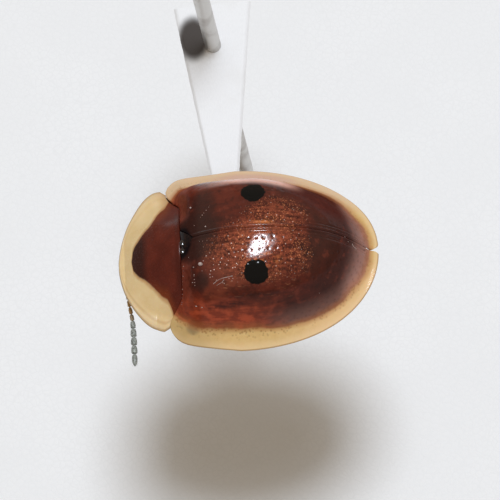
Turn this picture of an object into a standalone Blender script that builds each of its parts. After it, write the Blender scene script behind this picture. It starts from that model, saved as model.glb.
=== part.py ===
"""Tortoise beetle as a museum keeps it: glued to a card point on a pin, over a block of foam.

The beetle is modelled in its own frame, in millimetres: +X is its left side, +Y runs to the
tail, +Z is up, and the origin is the middle of its length at the level of the front and tail
edges. An empty then sets it on the card, a little nose up, and everything is written in metres.
"""
import math

import bmesh
import bpy
from mathutils import Vector

MM = 0.001
FIT_GAP = 0.15            # space kept between neighbouring pieces of so small an animal

# Size of the wing cases, seen from above
HALF_WIDTH = 2.96         # from the middle line to the rim, at the widest place
WIDEST_Y = -0.35          # where the rim is widest
TAIL_REACH = 4.30         # from the widest place to the tail
TAIL_POWER = 2.1          # a little fuller than an ellipse
SHOULDER_REACH = 2.12     # from the widest place forward to the shoulder lobes
SHOULDER_NARROWING = 0.09
SHOULDER_POWER = 10.0
TAIL_NOTCH_DEPTH = 0.21   # the small gap where the two wing cases end
TAIL_NOTCH_HALF = 0.18

# The dome inside the flat margin
DOME_HALF_WIDTH = 2.35
DOME_CENTRE_Y = 0.1
DOME_HALF_LENGTH = 3.0
DOME_LENGTH_SHIFT = 0.52  # longer behind the centre than before it
DOME_TOP = 2.08
DOME_SQUARENESS = 2.5     # how boxy the shoulders of the dome are, seen from above
CROWN_TILT = 0.07         # the crown lies a little behind the centre
RIM_DROP = 0.36           # the side rims hang lower than the front and tail edges
FRONT_RISE_Y = 2.8        # ahead of this the rim is level, with a slight dip at the very front
FRONT_DIP = 0.1
MARGIN_FALL = 0.27        # from the foot of the dome out to the rim

# Shield over the head
SHIELD_HALF_WIDTH = 2.28
SHIELD_WIDEST_Y = -2.59
SHIELD_FRONT_REACH = 1.30
SHIELD_POWER = 1.72
SHIELD_HEIGHT = 1.08      # its swelling over the middle of its hind edge
SHIELD_SWELL_BACK = 2.1   # half width of the swelling at the hind edge and at the front
SHIELD_SWELL_FRONT = 1.35
SHIELD_ROUNDNESS = 1.05
SHIELD_LEAN = math.radians(5.0)   # the fore body is turned a little to the beetle's left
SHIELD_LENGTH = 1.72      # over which its swelling falls to nothing, on the middle line
SHIELD_SHELL = 0.50       # its thickness in the middle
SHIELD_THIN_REACH = 1.9   # this far from its hind edge it is as thin as its rim
BASE_Y = -2.0             # where the shield meets the wing cases, on the middle line
BASE_SWEEP = 0.42         # the joint runs this far forward at the shoulders
BASE_BEND_X = 1.35
BASE_BEND_WIDTH = 0.85

# Thickness of the shell
SHELL = 0.42
SHELL_AT_RIM = 0.26
FRONT_LIP = 0.42          # the front edge of a wing case turns down by this much more
FRONT_SLOPE = 0.33        # its base slopes down to the shield over this length
FRONT_STEP = 0.05         # and stays this much above the shield
FRONT_SLOPE_X = 0.5       # the slope starts this far from the middle line

# Underside
BELLY_LOW = -0.64
BELLY_LIFT = 0.3
TAIL_LIFT = 0.32          # the underside also rises towards the tail, from this far back
TAIL_LIFT_Y = 1.2
TAIL_LIFT_LENGTH = 2.0
BODY_LEAST = 0.15         # least thickness of the body
BELLY_RINGS = 5
RING_GROOVE = 0.05
WAIST_Y = 0.3             # where the thorax meets the abdomen
NECK_Y = -1.5             # where the thorax meets the fore body
CHIN_Y = -2.92            # front of the fore body
CHIN_HALF = 0.75          # its half width at the front and at the back
NECK_HALF = 1.28
CHIN_LIFT = 0.06          # its underside is this much above the belly, and its sides more
CHIN_SIDE_LIFT = 0.22
CHIN_ROOF_GAP = 0.04      # extra space left under the shield

# Small triangular plate behind the shield
SCUTELLUM_HALF = 0.40
SCUTELLUM_LENGTH = 0.40
SCUTELLUM_THICKNESS = 0.34
SCUTELLUM_RISE = 0.02     # it stands this much above the dome
SCUTELLUM_TIP = 0.02      # half width left at its point

# Head, eyes and feelers
HEAD_CENTRE = Vector((0.116, -3.33, -0.64))
HEAD_HALF = Vector((0.48, 0.28, 0.40))
SNOUT_SHIFT = Vector((0.0, -0.04, -0.30))   # from the middle of the head
SNOUT_HALF = Vector((0.26, 0.20, 0.28))
JAW_SHIFT = Vector((0.10, -0.10, -0.52))
JAW_HALF = Vector((0.13, 0.10, 0.16))
EYE_CENTRE = Vector((0.43, -3.27, -0.56))
EYE_HALF = Vector((0.20, 0.17, 0.22))
EYE_ROOM = 0.12           # space between an eye and its socket
FEELER_SEGMENTS = 11
FEELER_THIN = 0.14
FEELER_THICK = 0.19
FEELER_JOINT = 0.74       # share of the radius left at a joint
LEFT_FEELER = [(0.66, -3.70, -0.74), (1.2, -3.63, -0.80), (1.8, -3.55, -0.84),
               (3.12, -3.53, -0.86)]
RIGHT_FEELER = [(-0.42, -3.70, -0.76), (-1.2, -3.55, -0.88), (-1.95, -3.05, -0.92),
                (-2.35, -2.1, -0.96)]

# Legs
THIGH_RADIUS = 0.25
SHIN_RADIUS = 0.21
FOOT_RADIUS = 0.18
LEG_DEPTH = BELLY_LOW - FIT_GAP - THIGH_RADIUS - 0.02

# Hip, knee, ankle and toe of each leg, seen from above
LEG_PLACES = {
    "leg_front_left": ((0.38, -2.30), (1.45, -2.72), (1.90, -2.05), (1.45, -1.70)),
    "leg_front_right": ((-0.38, -2.30), (-1.35, -2.62), (-1.55, -1.95), (-1.1, -1.70)),
    "leg_middle_left": ((0.55, -1.05), (1.85, -0.95), (1.80, -0.10), (1.20, 0.20)),
    "leg_middle_right": ((-0.42, -1.15), (-0.45, 0.10), (-1.55, 0.27), (-2.05, 0.57)),
    "leg_hind_left": ((0.45, 0.85), (1.70, 1.05), (1.45, 1.90), (0.95, 2.30)),
    "leg_hind_right": ((-0.45, 0.85), (-1.70, 1.05), (-1.45, 1.90), (-0.95, 2.30)),
}

# Mount: card point, pin and foam block
BLOCK_SIDE = 21.0
BLOCK_HEIGHT = 6.0
BLOCK_EDGE = 0.25
PIN_RADIUS = 0.25
PIN_FOOT = 1.2
PIN_TOP = 26.5
PIN_TAPER = 1.6
PIN_TIP_RADIUS = 0.06
PIN_HEAD_RADIUS = 0.62
PIN_HEAD_HEIGHT = 0.7
PIN_XY = (-2.37, -0.28)
CARD_THICKNESS = 0.3
CARD_TOP = 17.4
CARD_BEHIND_PIN = 1.45
CARD_REACH = 6.5
CARD_BASE_WIDTH = 2.36
CARD_TIP_WIDTH = 0.26
CARD_AXIS_OFFSET = 0.05
CARD_TURN = math.radians(1.7)
GLUE_FROM_TIP = 0.35
GLUE_FOOT_RADIUS = 0.46
GLUE_TOP_RADIUS = 0.34
GLUE_EDGE = 0.07

# How the beetle is held over the card
BEETLE_AT = (5.3, 0.6, 18.6)
NOSE_UP = math.radians(5.05)

# How finely the surfaces are divided
CASE_ROWS = 24
DOME_COLUMNS = 11
MARGIN_COLUMNS = 3
SHIELD_ROWS = 14
SHIELD_COLUMNS = 12
BODY_COLUMNS = 8


def clear_scene():
    for item in list(bpy.data.objects):
        bpy.data.objects.remove(item, do_unlink=True)


def surface(name, colour, roughness, metallic=0.0):
    material = bpy.data.materials.new(name)
    material.use_nodes = True
    shader = material.node_tree.nodes["Principled BSDF"]
    shader.inputs["Base Color"].default_value = (*colour, 1.0)
    shader.inputs["Roughness"].default_value = roughness
    shader.inputs["Metallic"].default_value = metallic
    return material


def solid(name, points, faces, material, parent=None):
    """One named object from points in millimetres and the faces between them."""
    mesh = bpy.data.meshes.new(name)
    mesh.from_pydata([Vector(p) * MM for p in points], [], faces)
    work = bmesh.new()
    work.from_mesh(mesh)
    bmesh.ops.remove_doubles(work, verts=work.verts, dist=1e-7)
    bmesh.ops.triangulate(work, faces=[f for f in work.faces if len(f.verts) > 4])
    bmesh.ops.recalc_face_normals(work, faces=work.faces)
    work.to_mesh(mesh)
    work.free()
    mesh.shade_smooth()
    mesh.set_sharp_from_angle(angle=math.radians(40))
    mesh.materials.append(material)
    item = bpy.data.objects.new(name, mesh)
    bpy.context.scene.collection.objects.link(item)
    item.parent = parent
    return item


def mix(a, b, share):
    return a + (b - a) * share


def smooth_step(value):
    value = min(1.0, max(0.0, value))
    return value * value * (3.0 - 2.0 * value)


# Shape of the back

def rim_height(y):
    """Height of the outer rim: lowest at the sides, near zero at the front and the tail."""
    if y < 0:
        dip = FRONT_DIP * max(0.0, -y - FRONT_RISE_Y) ** 2
        return -RIM_DROP * (1.0 - min(1.0, -y / FRONT_RISE_Y) ** 3) - dip
    return -RIM_DROP * (1.0 - min(1.0, y / (WIDEST_Y + TAIL_REACH)) ** 5)


def foot_height(y):
    """Height where the dome meets the flat margin."""
    share = min(1.0, max(0.0, y) / (WIDEST_Y + TAIL_REACH))
    return rim_height(y) + MARGIN_FALL - (MARGIN_FALL - 0.1) * share ** 4


def dome_ratio(x, y, inset=0.0):
    """0 at the top of the dome, 1 all round its foot."""
    along = y - DOME_CENTRE_Y
    reach = DOME_HALF_LENGTH + DOME_LENGTH_SHIFT * along / math.hypot(along, 1.2) - inset
    across = abs(x) / (DOME_HALF_WIDTH - inset)
    along = abs(along) / reach
    plain = math.hypot(across, along)
    power = 2.0 + (DOME_SQUARENESS * min(plain, 1.0) ** 2 if y < DOME_CENTRE_Y else 0.0)
    return (across ** power + along ** power) ** (1.0 / power)


def dome_height(x, y, inset=0.0):
    """Height of the back over any point within the foot of the dome."""
    ratio = min(1.0, dome_ratio(x, y, inset))
    side = x * x / (x * x + (y - DOME_CENTRE_Y) ** 2 + 1e-9)
    round_share = 0.55 - 0.17 * side
    steepness = 6.0 + 2.0 * side
    fall = round_share * ratio ** 2 + (1.0 - round_share) * ratio ** steepness
    top = DOME_TOP - foot_height(DOME_CENTRE_Y) - inset
    tilt = CROWN_TILT * (y - DOME_CENTRE_Y) * (1.0 - ratio ** 2) ** 2
    return foot_height(y) + top * (1.0 - fall) + tilt


def base_line(x):
    """The joint between the shield and the wing cases, as a distance along the body."""
    return BASE_Y - BASE_SWEEP * smooth_step((abs(x) - BASE_BEND_X) / BASE_BEND_WIDTH)


def case_base(x):
    """Front edge of a wing case, with the notch that takes the small triangular plate."""
    notch_half = SCUTELLUM_HALF + FIT_GAP
    notch = (SCUTELLUM_LENGTH + 2.0 * FIT_GAP) * max(0.0, 1.0 - abs(x) / notch_half)
    return base_line(x) + FIT_GAP / 2.0 + notch


def case_height(x, y):
    """The dome, with the base of each wing case sloping down to the shield."""
    height = dome_height(x, y)
    base = base_line(x)
    near = 1.0 - min(1.0, max(0.0, (y - base - FIT_GAP / 2.0) / FRONT_SLOPE))
    aside = smooth_step((abs(x) - FRONT_SLOPE_X) / FRONT_SLOPE_X)
    step = max(0.0, height - shield_height(x, base) - FRONT_STEP)
    return height - step * aside * near ** 1.5


def spread(points, count):
    """Points at equal steps along a line of many points."""
    lengths = [0.0]
    for a, b in zip(points, points[1:]):
        lengths.append(lengths[-1] + math.dist(a, b))
    result = []
    place = 0
    for step in range(count + 1):
        goal = lengths[-1] * step / count
        while place < len(points) - 2 and lengths[place + 1] < goal:
            place += 1
        share = (goal - lengths[place]) / max(1e-9, lengths[place + 1] - lengths[place])
        a, b = points[place], points[place + 1]
        result.append((mix(a[0], b[0], share), mix(a[1], b[1], share)))
    return result


def case_rim(count):
    """Outer edge of the left wing case, from its front corner round to the tail notch."""
    line = []
    for step in range(200):
        s = (1.0 - step / 200.0) ** 0.5
        width = HALF_WIDTH * (1.0 - SHOULDER_NARROWING * s)
        x = width * (1.0 - s ** SHOULDER_POWER) ** (1.0 / SHOULDER_POWER)
        y = WIDEST_Y - SHOULDER_REACH * s
        if y > case_base(x) and x > BASE_BEND_X:
            line.append((x, y))
    start_x = line[0][0]
    line.insert(0, (start_x - 0.12, case_base(start_x - 0.12)))
    tail = math.acos((TAIL_NOTCH_HALF / HALF_WIDTH) ** (TAIL_POWER / 2.0))
    for step in range(1, 241):
        angle = tail * step / 240
        line.append((HALF_WIDTH * math.cos(angle) ** (2.0 / TAIL_POWER),
                     WIDEST_Y + TAIL_REACH * math.sin(angle) ** (2.0 / TAIL_POWER)))
    tail_y = line[-1][1]
    for step in range(1, 13):
        angle = math.pi / 2 * step / 12
        x = mix(TAIL_NOTCH_HALF, FIT_GAP / 2, math.sin(angle))
        line.append((x, tail_y - TAIL_NOTCH_DEPTH * (1.0 - math.cos(angle))))
    return spread(line, count)


def find_share(start, end, inside):
    """How far from start to end a straight run stays inside."""
    low, high = 0.0, 1.0
    for _ in range(40):
        middle = (low + high) / 2
        if inside(mix(start[0], end[0], middle), mix(start[1], end[1], middle)):
            low = middle
        else:
            high = middle
    return low


def case_grid(rows, dome_columns, margin_columns):
    """Rows of points over the left wing case, from the middle seam out to the rim."""
    rim = case_rim(rows)
    seam_x = FIT_GAP / 2
    seam_start = case_base(seam_x)
    seam_end = DOME_CENTRE_Y + 0.985 * (DOME_HALF_LENGTH + DOME_LENGTH_SHIFT * 0.945)
    grid = []
    for i, outer in enumerate(rim):
        inner = (seam_x, mix(seam_start, seam_end, i / rows))
        foot = find_share(inner, outer, lambda x, y: dome_ratio(x, y) < 1.0)
        shares = [foot * j / dome_columns for j in range(dome_columns)]
        shares += [mix(foot, 1.0, j / margin_columns) for j in range(margin_columns + 1)]
        pull = (1.0 - i / rows) ** 5
        row = []
        for j, share in enumerate(shares):
            x = mix(inner[0], outer[0], share)
            straight = mix(inner[1], outer[1], share)
            first = mix(seam_start, rim[0][1], (x - seam_x) / (rim[0][0] - seam_x))
            y = straight + (case_base(min(x, rim[0][0])) - first) * pull
            if j < dome_columns:
                z = case_height(x, y)
            else:
                z = mix(foot_height(y), rim_height(y), (j - dome_columns) / margin_columns)
            row.append((x, y, z))
        grid.append(row)
    return grid


def sheet_faces(rows, columns, start=0, flip=False):
    """Triangles over a grid, split the same way on every sheet."""
    faces = []
    for i in range(rows):
        for j in range(columns):
            a = start + i * (columns + 1) + j
            b, c, d = a + 1, a + columns + 2, a + columns + 1
            for face in ((a, b, c), (a, c, d)):
                faces.append(face[::-1] if flip else face)
    return faces


def closed_shell(name, upper, lower, material, parent, mirrored=False, leaning=False):
    """A solid between two grids of points that match, walled along their open edges.

    With mirrored set, the grids are one half and the other half joins it on the middle line.
    With leaning set, the finished solid takes the fore body's turn.
    """
    rows, columns = len(upper) - 1, len(upper[0]) - 1
    work = bmesh.new()
    sides = (1, -1) if mirrored else (1,)
    for sign in sides:
        for grid, down in ((upper, False), (lower, True)):
            made = [work.verts.new(Vector((p[0] * sign, p[1], p[2]))) for row in grid for p in row]
            for face in sheet_faces(rows, columns, 0, down != (sign < 0)):
                corners = [made[k] for k in face]
                if not (mirrored and all(abs(v.co.x) < 1e-6 for v in corners)):
                    work.faces.new(corners)
    count = (rows + 1) * (columns + 1)
    work.verts.ensure_lookup_table()
    # walls along the four edges of each half; the middle line needs none where halves join
    loop = [(0, j) for j in range(columns)]
    loop += [(i, columns) for i in range(rows)]
    loop += [(rows, j) for j in range(columns, 0, -1)]
    loop += [(i, 0) for i in range(rows, 0, -1)]
    for k, _ in enumerate(sides):
        top = k * 2 * count
        for here, there in zip(loop, loop[1:] + loop[:1]):
            ends = [here[0] * (columns + 1) + here[1], there[0] * (columns + 1) + there[1]]
            corners = [work.verts[top + ends[0]], work.verts[top + ends[1]],
                       work.verts[top + count + ends[1]], work.verts[top + count + ends[0]]]
            if mirrored and all(abs(v.co.x) < 1e-6 for v in corners):
                continue
            work.faces.new((corners[0], corners[1], corners[2]))
            work.faces.new((corners[0], corners[2], corners[3]))
    bmesh.ops.remove_doubles(work, verts=work.verts, dist=1e-5)
    bmesh.ops.dissolve_degenerate(work, dist=1e-6, edges=work.edges)
    points = [v.co.copy() for v in work.verts]
    if leaning:
        points = [Vector((lean(p.x, p.y), p.y, p.z)) for p in points]
    work.verts.index_update()
    faces = [[v.index for v in f.verts] for f in work.faces]
    work.free()
    return solid(name, points, faces, material, parent)


def wing_case(side, name, material, parent):
    """One wing case: domed inside, thin and flat along its margin."""
    upper = case_grid(CASE_ROWS, DOME_COLUMNS, MARGIN_COLUMNS)
    lower = []
    for i, row in enumerate(upper):
        lip = max(0.0, 1.0 - i / 2.0)
        low_row = []
        for j, (x, y, z) in enumerate(row):
            if j <= DOME_COLUMNS:
                along = y - DOME_CENTRE_Y
                reach = DOME_HALF_LENGTH + DOME_LENGTH_SHIFT * along / math.hypot(along, 1.2)
                share = 1.0 if j < DOME_COLUMNS else 0.45
                low_x = max(FIT_GAP / 2, x * (1.0 - share * SHELL / DOME_HALF_WIDTH))
                low_y = DOME_CENTRE_Y + along * (1.0 - (1.0 - lip) * share * SHELL / reach)
                tall = (z - foot_height(y)) / (DOME_TOP - foot_height(DOME_CENTRE_Y))
                low_z = z - (SHELL + FRONT_LIP * lip) * max(tall, 0.0 if share == 1.0 else 0.8)
                low_row.append((low_x, low_y, low_z))
            else:
                thin = mix(SHELL, SHELL_AT_RIM, (j - DOME_COLUMNS) / MARGIN_COLUMNS)
                low_row.append((x, y, z - thin))
        lower.append(low_row)
    upper = [[(p[0] * side, p[1], p[2]) for p in row] for row in upper]
    lower = [[(p[0] * side, p[1], p[2]) for p in row] for row in lower]
    return closed_shell(name, upper, lower, material, parent)


# Shield

def lean(x, y):
    """Sideways shift of the fore body, which grows towards the front."""
    return x + max(0.0, BASE_Y - y) * math.tan(SHIELD_LEAN)


def shield_edge(count):
    """Edge of the left half of the shield, from its hind corner round to the front."""
    line = []
    corner_x = SHIELD_HALF_WIDTH - 0.10
    line.append((corner_x, base_line(corner_x) - FIT_GAP / 2))
    for step in range(1, 161):
        t = step / 160
        x = SHIELD_HALF_WIDTH * (1.0 - t ** SHIELD_POWER) ** (1.0 / SHIELD_POWER)
        line.append((x, SHIELD_WIDEST_Y - SHIELD_FRONT_REACH * t))
    return spread(line, count)


def shield_height(x, y):
    """A smooth swelling over the fore body, flattening to a thin brim all round."""
    back = min(1.0, max(0.0, (BASE_Y - y) / SHIELD_LENGTH))
    half = mix(SHIELD_SWELL_BACK, SHIELD_SWELL_FRONT, back)
    across = min(1.0, abs(x) / half)
    swelling = SHIELD_HEIGHT * (1.0 - back ** 1.5) * (1.0 - across ** 2) ** SHIELD_ROUNDNESS
    edge = mix(foot_height(BASE_Y), rim_height(y), smooth_step(math.hypot(across, back)))
    return edge + swelling


def shield_grid(rows, columns):
    edge = shield_edge(rows)
    middle_start = BASE_Y - FIT_GAP / 2
    middle_end = SHIELD_WIDEST_Y - SHIELD_FRONT_REACH * 0.88
    grid = []
    for i, outer in enumerate(edge):
        inner = (0.0, mix(middle_start, middle_end, i / rows))
        pull = (1.0 - i / rows) ** 4
        row = []
        for j in range(columns + 1):
            share = j / columns
            x = mix(inner[0], outer[0], share)
            first = mix(middle_start, edge[0][1], x / edge[0][0])
            base = base_line(min(x, edge[0][0])) - FIT_GAP / 2
            y = mix(inner[1], outer[1], share) + (base - first) * pull
            row.append((x, y, shield_height(x, y)))
        grid.append(row)
    return grid


def shield(material, parent):
    upper = shield_grid(SHIELD_ROWS, SHIELD_COLUMNS)
    lower = []
    for row in upper:
        low_row = []
        for j, (x, y, z) in enumerate(row):
            edge = max(j / SHIELD_COLUMNS, smooth_step((BASE_Y - y) / SHIELD_THIN_REACH))
            low_row.append((x, y, z - mix(SHIELD_SHELL, SHELL_AT_RIM, edge ** 2)))
        lower.append(low_row)
    return closed_shell("pronotum", upper, lower, material, parent, True, True)


def scutellum(material, parent):
    """Small triangular plate that closes the corner between the wing cases."""
    front, tip = BASE_Y + FIT_GAP / 2, BASE_Y + FIT_GAP / 2 + SCUTELLUM_LENGTH
    upper = []
    for i in range(4):
        y = mix(front, tip, i / 4)
        half = SCUTELLUM_HALF * (1.0 - i / 4)
        upper.append([(half * j / 3, y, dome_height(half * j / 3, y) + SCUTELLUM_RISE)
                      for j in range(4)])
    upper.append([(SCUTELLUM_TIP * j / 3, tip, dome_height(0.0, tip)) for j in range(4)])
    lower = [[(x, y, z - SCUTELLUM_THICKNESS) for x, y, z in row] for row in upper]
    return closed_shell("scutellum", upper, lower, material, parent, mirrored=True)


# Body under the shell

def belly_height(x, y, half):
    """Underside of the body, a shallow keel that lifts to the sides and the tail."""
    lift = BELLY_LIFT * (abs(x) / half) ** 3
    tail = TAIL_LIFT * smooth_step((y - TAIL_LIFT_Y) / TAIL_LIFT_LENGTH)
    return BELLY_LOW + lift + tail


def body_half(y, inset):
    """Half width of the space inside the dome."""
    low, high = 0.0, DOME_HALF_WIDTH
    for _ in range(40):
        middle = (low + high) / 2
        if dome_ratio(middle, y, inset) < 0.985:
            low = middle
        else:
            high = middle
    return low


def abdomen(material, parent):
    """Fills the wing cases behind the waist, with five rings across its underside."""
    inset = SHELL + FIT_GAP
    rows, columns = 4 * BELLY_RINGS, BODY_COLUMNS
    tail_reach = DOME_CENTRE_Y + DOME_HALF_LENGTH + DOME_LENGTH_SHIFT * 0.94 - inset - WAIST_Y
    wide = body_half(WAIST_Y, inset)
    upper, lower = [], []
    for i in range(rows + 1):
        angle = math.pi / 2 * i / rows
        outer = (wide * math.cos(angle), WAIST_Y + tail_reach * 0.97 * math.sin(angle))
        inner = (0.0, WAIST_Y + tail_reach * 0.9 * i / rows)
        high_row, low_row = [], []
        for j in range(columns + 1):
            share = j / columns
            x = mix(inner[0], outer[0], share)
            y = mix(inner[1], outer[1], share)
            top = dome_height(x, y, inset)
            groove = RING_GROOVE if i % (rows // BELLY_RINGS) == 0 and 0 < i < rows else 0.0
            low = belly_height(x, y, wide) + groove
            high_row.append((x, y, max(top, low + BODY_LEAST)))
            low_row.append((x, y, low))
        upper.append(high_row)
        lower.append(low_row)
    return closed_shell("abdomen", upper, lower, material, parent, mirrored=True)


def thorax(material, parent):
    """Between the shield and the waist, under the front of the wing cases."""
    inset = SHELL + FIT_GAP
    front, back = NECK_Y, WAIST_Y - FIT_GAP
    rows, columns = 10, BODY_COLUMNS
    upper, lower = [], []
    for i in range(rows + 1):
        y = mix(front, back, i / rows)
        half = body_half(y, inset)
        high_row, low_row = [], []
        for j in range(columns + 1):
            x = half * j / columns
            high_row.append((x, y, dome_height(x, y, inset)))
            low_row.append((x, y, belly_height(x, y, half)))
        upper.append(high_row)
        lower.append(low_row)
    return closed_shell("thorax", upper, lower, material, parent, mirrored=True)


def prothorax(material, parent):
    """Fore body under the shield, which the head and the front legs grow from."""
    front, back = CHIN_Y, NECK_Y - FIT_GAP
    rows, columns = 8, 6
    upper, lower = [], []
    for i in range(rows + 1):
        y = mix(front, back, i / rows)
        half = mix(CHIN_HALF, NECK_HALF, smooth_step(i / rows))
        high_row, low_row = [], []
        for j in range(columns + 1):
            x = half * j / columns
            roof = min(shield_height(x, min(y, BASE_Y - FIT_GAP)), shield_height(x, y - 0.1))
            under = roof - SHIELD_SHELL - FIT_GAP - CHIN_ROOF_GAP
            if y > BASE_Y - FIT_GAP:
                under = min(under, case_height(x, y) - SHELL - FRONT_LIP - 2.0 * FIT_GAP)
            low = BELLY_LOW + CHIN_LIFT + CHIN_SIDE_LIFT * (x / half) ** 3
            high_row.append((x, y, max(under, low + BODY_LEAST)))
            low_row.append((x, y, low))
        upper.append(high_row)
        lower.append(low_row)
    return closed_shell("prothorax", upper, lower, material, parent, True, True)


# Head, feelers and legs

def egg(name, centre, half, material, parent, rings=9, sides=14):
    """A closed round body with three half sizes."""
    points = [centre + Vector((0, 0, half.z))]
    for i in range(1, rings):
        polar = math.pi * i / rings
        for k in range(sides):
            turn = 2 * math.pi * k / sides
            points.append(centre + Vector((half.x * math.sin(polar) * math.cos(turn),
                                           half.y * math.sin(polar) * math.sin(turn),
                                           half.z * math.cos(polar))))
    points.append(centre - Vector((0, 0, half.z)))
    faces = []
    for k in range(sides):
        after = (k + 1) % sides
        faces.append((0, 1 + k, 1 + after))
        for i in range(rings - 2):
            a, b = 1 + i * sides + k, 1 + i * sides + after
            faces.append((a, a + sides, b + sides, b))
        last = 1 + (rings - 2) * sides
        faces.append((last + k, len(points) - 1, last + after))
    return solid(name, points, faces, material, parent)


def curve_points(path, steps):
    """A smooth run through a few points."""
    ends = [path[0] * 2 - path[1]] + list(path) + [path[-1] * 2 - path[-2]]
    result = []
    for k in range(len(path) - 1):
        a, b, c, d = ends[k:k + 4]
        for step in range(steps):
            t = step / steps
            result.append(0.5 * (2 * b + (c - a) * t + (2 * a - 5 * b + 4 * c - d) * t * t
                                 + (3 * b - a - 3 * c + d) * t ** 3))
    result.append(Vector(path[-1]))
    return result


def limb(name, line, radii, material, parent, flatness=1.0, sides=8):
    """A round or flattened rod along a line of points, with rounded ends."""
    first = (line[0] - line[1]).normalized() * radii[0]
    last = (line[-1] - line[-2]).normalized() * radii[-1]
    stations = [(line[0] + first * 0.75, radii[0] * 0.62)]
    stations += list(zip(line, radii))
    stations.append((line[-1] + last * 0.75, radii[-1] * 0.62))
    points, faces = [], []
    for k, (place, radius) in enumerate(stations):
        before = stations[max(0, k - 1)][0]
        after = stations[min(len(stations) - 1, k + 1)][0]
        ahead = (after - before).normalized()
        across = ahead.cross(Vector((0, 0, 1))).normalized()
        rise = across.cross(ahead)
        for side in range(sides):
            turn = 2 * math.pi * (side + 0.5) / sides
            points.append(place + across * radius * math.cos(turn)
                          + rise * radius * flatness * math.sin(turn))
    for k in range(len(stations) - 1):
        for side in range(sides):
            a, b = k * sides + side, k * sides + (side + 1) % sides
            faces.append((a, b, b + sides, a + sides))
    points += [line[0] + first, line[-1] + last]
    tail = (len(stations) - 1) * sides
    for side in range(sides):
        after = (side + 1) % sides
        faces.append((len(points) - 2, after, side))
        faces.append((len(points) - 1, tail + side, tail + after))
    return solid(name, points, faces, material, parent)


def join_pieces(name, pieces, material, parent):
    """One closed body out of overlapping closed pieces."""
    group = bpy.data.collections.new(name + "_pieces")
    bpy.context.scene.collection.children.link(group)
    body = pieces[0]
    for piece in pieces[1:]:
        group.objects.link(piece)
    join = body.modifiers.new("join", 'BOOLEAN')
    join.operation = 'UNION'
    join.operand_type = 'COLLECTION'
    join.collection = group
    join.solver = 'EXACT'
    bpy.context.view_layer.update()
    joined = bpy.data.meshes.new_from_object(
        body.evaluated_get(bpy.context.evaluated_depsgraph_get()))
    body.modifiers.clear()
    for piece in list(group.objects):
        bpy.data.objects.remove(piece, do_unlink=True)
    bpy.data.collections.remove(group)
    body.data = keep_largest(joined)
    body.name = name
    body.data.name = name
    body.data.materials.clear()
    body.data.materials.append(material)
    body.parent = parent
    return body


def keep_largest(mesh):
    """Drops every loose scrap and sealed hollow but the largest closed surface."""
    work = bmesh.new()
    work.from_mesh(mesh)
    bmesh.ops.remove_doubles(work, verts=work.verts, dist=1e-7)
    islands, seen = [], set()
    for start in work.faces:
        if start in seen:
            continue
        island, queue = [], [start]
        seen.add(start)
        while queue:
            face = queue.pop()
            island.append(face)
            for edge in face.edges:
                for other in edge.link_faces:
                    if other not in seen:
                        seen.add(other)
                        queue.append(other)
        islands.append(island)
    islands.sort(key=lambda island: sum(f.calc_area() for f in island), reverse=True)
    loose = [face for island in islands[1:] for face in island]
    bmesh.ops.delete(work, geom=loose, context='FACES')
    bmesh.ops.triangulate(work, faces=work.faces)
    work.to_mesh(mesh)
    work.free()
    return mesh


def cut(body, cutter):
    """Takes the cutter's shape out of a body."""
    tool = body.modifiers.new("cut", 'BOOLEAN')
    tool.operation = 'DIFFERENCE'
    tool.object = cutter
    tool.solver = 'EXACT'
    bpy.context.view_layer.update()
    result = bpy.data.meshes.new_from_object(
        body.evaluated_get(bpy.context.evaluated_depsgraph_get()))
    body.modifiers.clear()
    body.data = keep_largest(result)
    bpy.data.objects.remove(cutter, do_unlink=True)


def head_and_eyes(material, eye_material, parent):
    """Head bent down under the shield, with a short snout and an eye set in each side."""
    skull = egg("skull", HEAD_CENTRE, HEAD_HALF, material, parent, 10, 16)
    snout = egg("snout", HEAD_CENTRE + SNOUT_SHIFT, SNOUT_HALF, material, parent, 7, 12)
    jaws = []
    for side in (1, -1):
        centre = HEAD_CENTRE + Vector((JAW_SHIFT.x * side, JAW_SHIFT.y, JAW_SHIFT.z))
        jaws.append(egg("jaw", centre, JAW_HALF, material, parent, 6, 8))
    head = join_pieces("head", [skull, snout] + jaws, material, parent)
    for side, word in ((1, "left"), (-1, "right")):
        centre = Vector((HEAD_CENTRE.x + EYE_CENTRE.x * side, EYE_CENTRE.y, EYE_CENTRE.z))
        room = EYE_HALF + Vector((EYE_ROOM, EYE_ROOM, EYE_ROOM))
        cut(head, egg("eye_room", centre, room, material, parent, 8, 12))
        egg("eye_" + word, centre, EYE_HALF, eye_material, parent, 8, 12)


def feeler(name, path, material, parent):
    """Eleven segments, the last five thicker, each swelling towards its end."""
    line = curve_points([Vector(p) for p in path], 30)
    total = sum((b - a).length for a, b in zip(line, line[1:]))
    places, radii = [], []
    walked, index = 0.0, 0
    for ring in range(FEELER_SEGMENTS * 3 + 1):
        goal = total * ring / (FEELER_SEGMENTS * 3)
        while index < len(line) - 2 and walked + (line[index + 1] - line[index]).length < goal:
            walked += (line[index + 1] - line[index]).length
            index += 1
        step = (line[index + 1] - line[index]).length
        places.append(line[index].lerp(line[index + 1], min(1.0, (goal - walked) / step)))
        along = ring / (FEELER_SEGMENTS * 3)
        full = mix(FEELER_THIN, FEELER_THICK, smooth_step((along - 0.3) / 0.3))
        if along > 0.9:
            full *= 1.0 - 4.0 * (along - 0.9)
        radii.append(full * (FEELER_JOINT if ring % 3 == 0 else 1.0))
    return limb(name, places, radii, material, parent)


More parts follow.
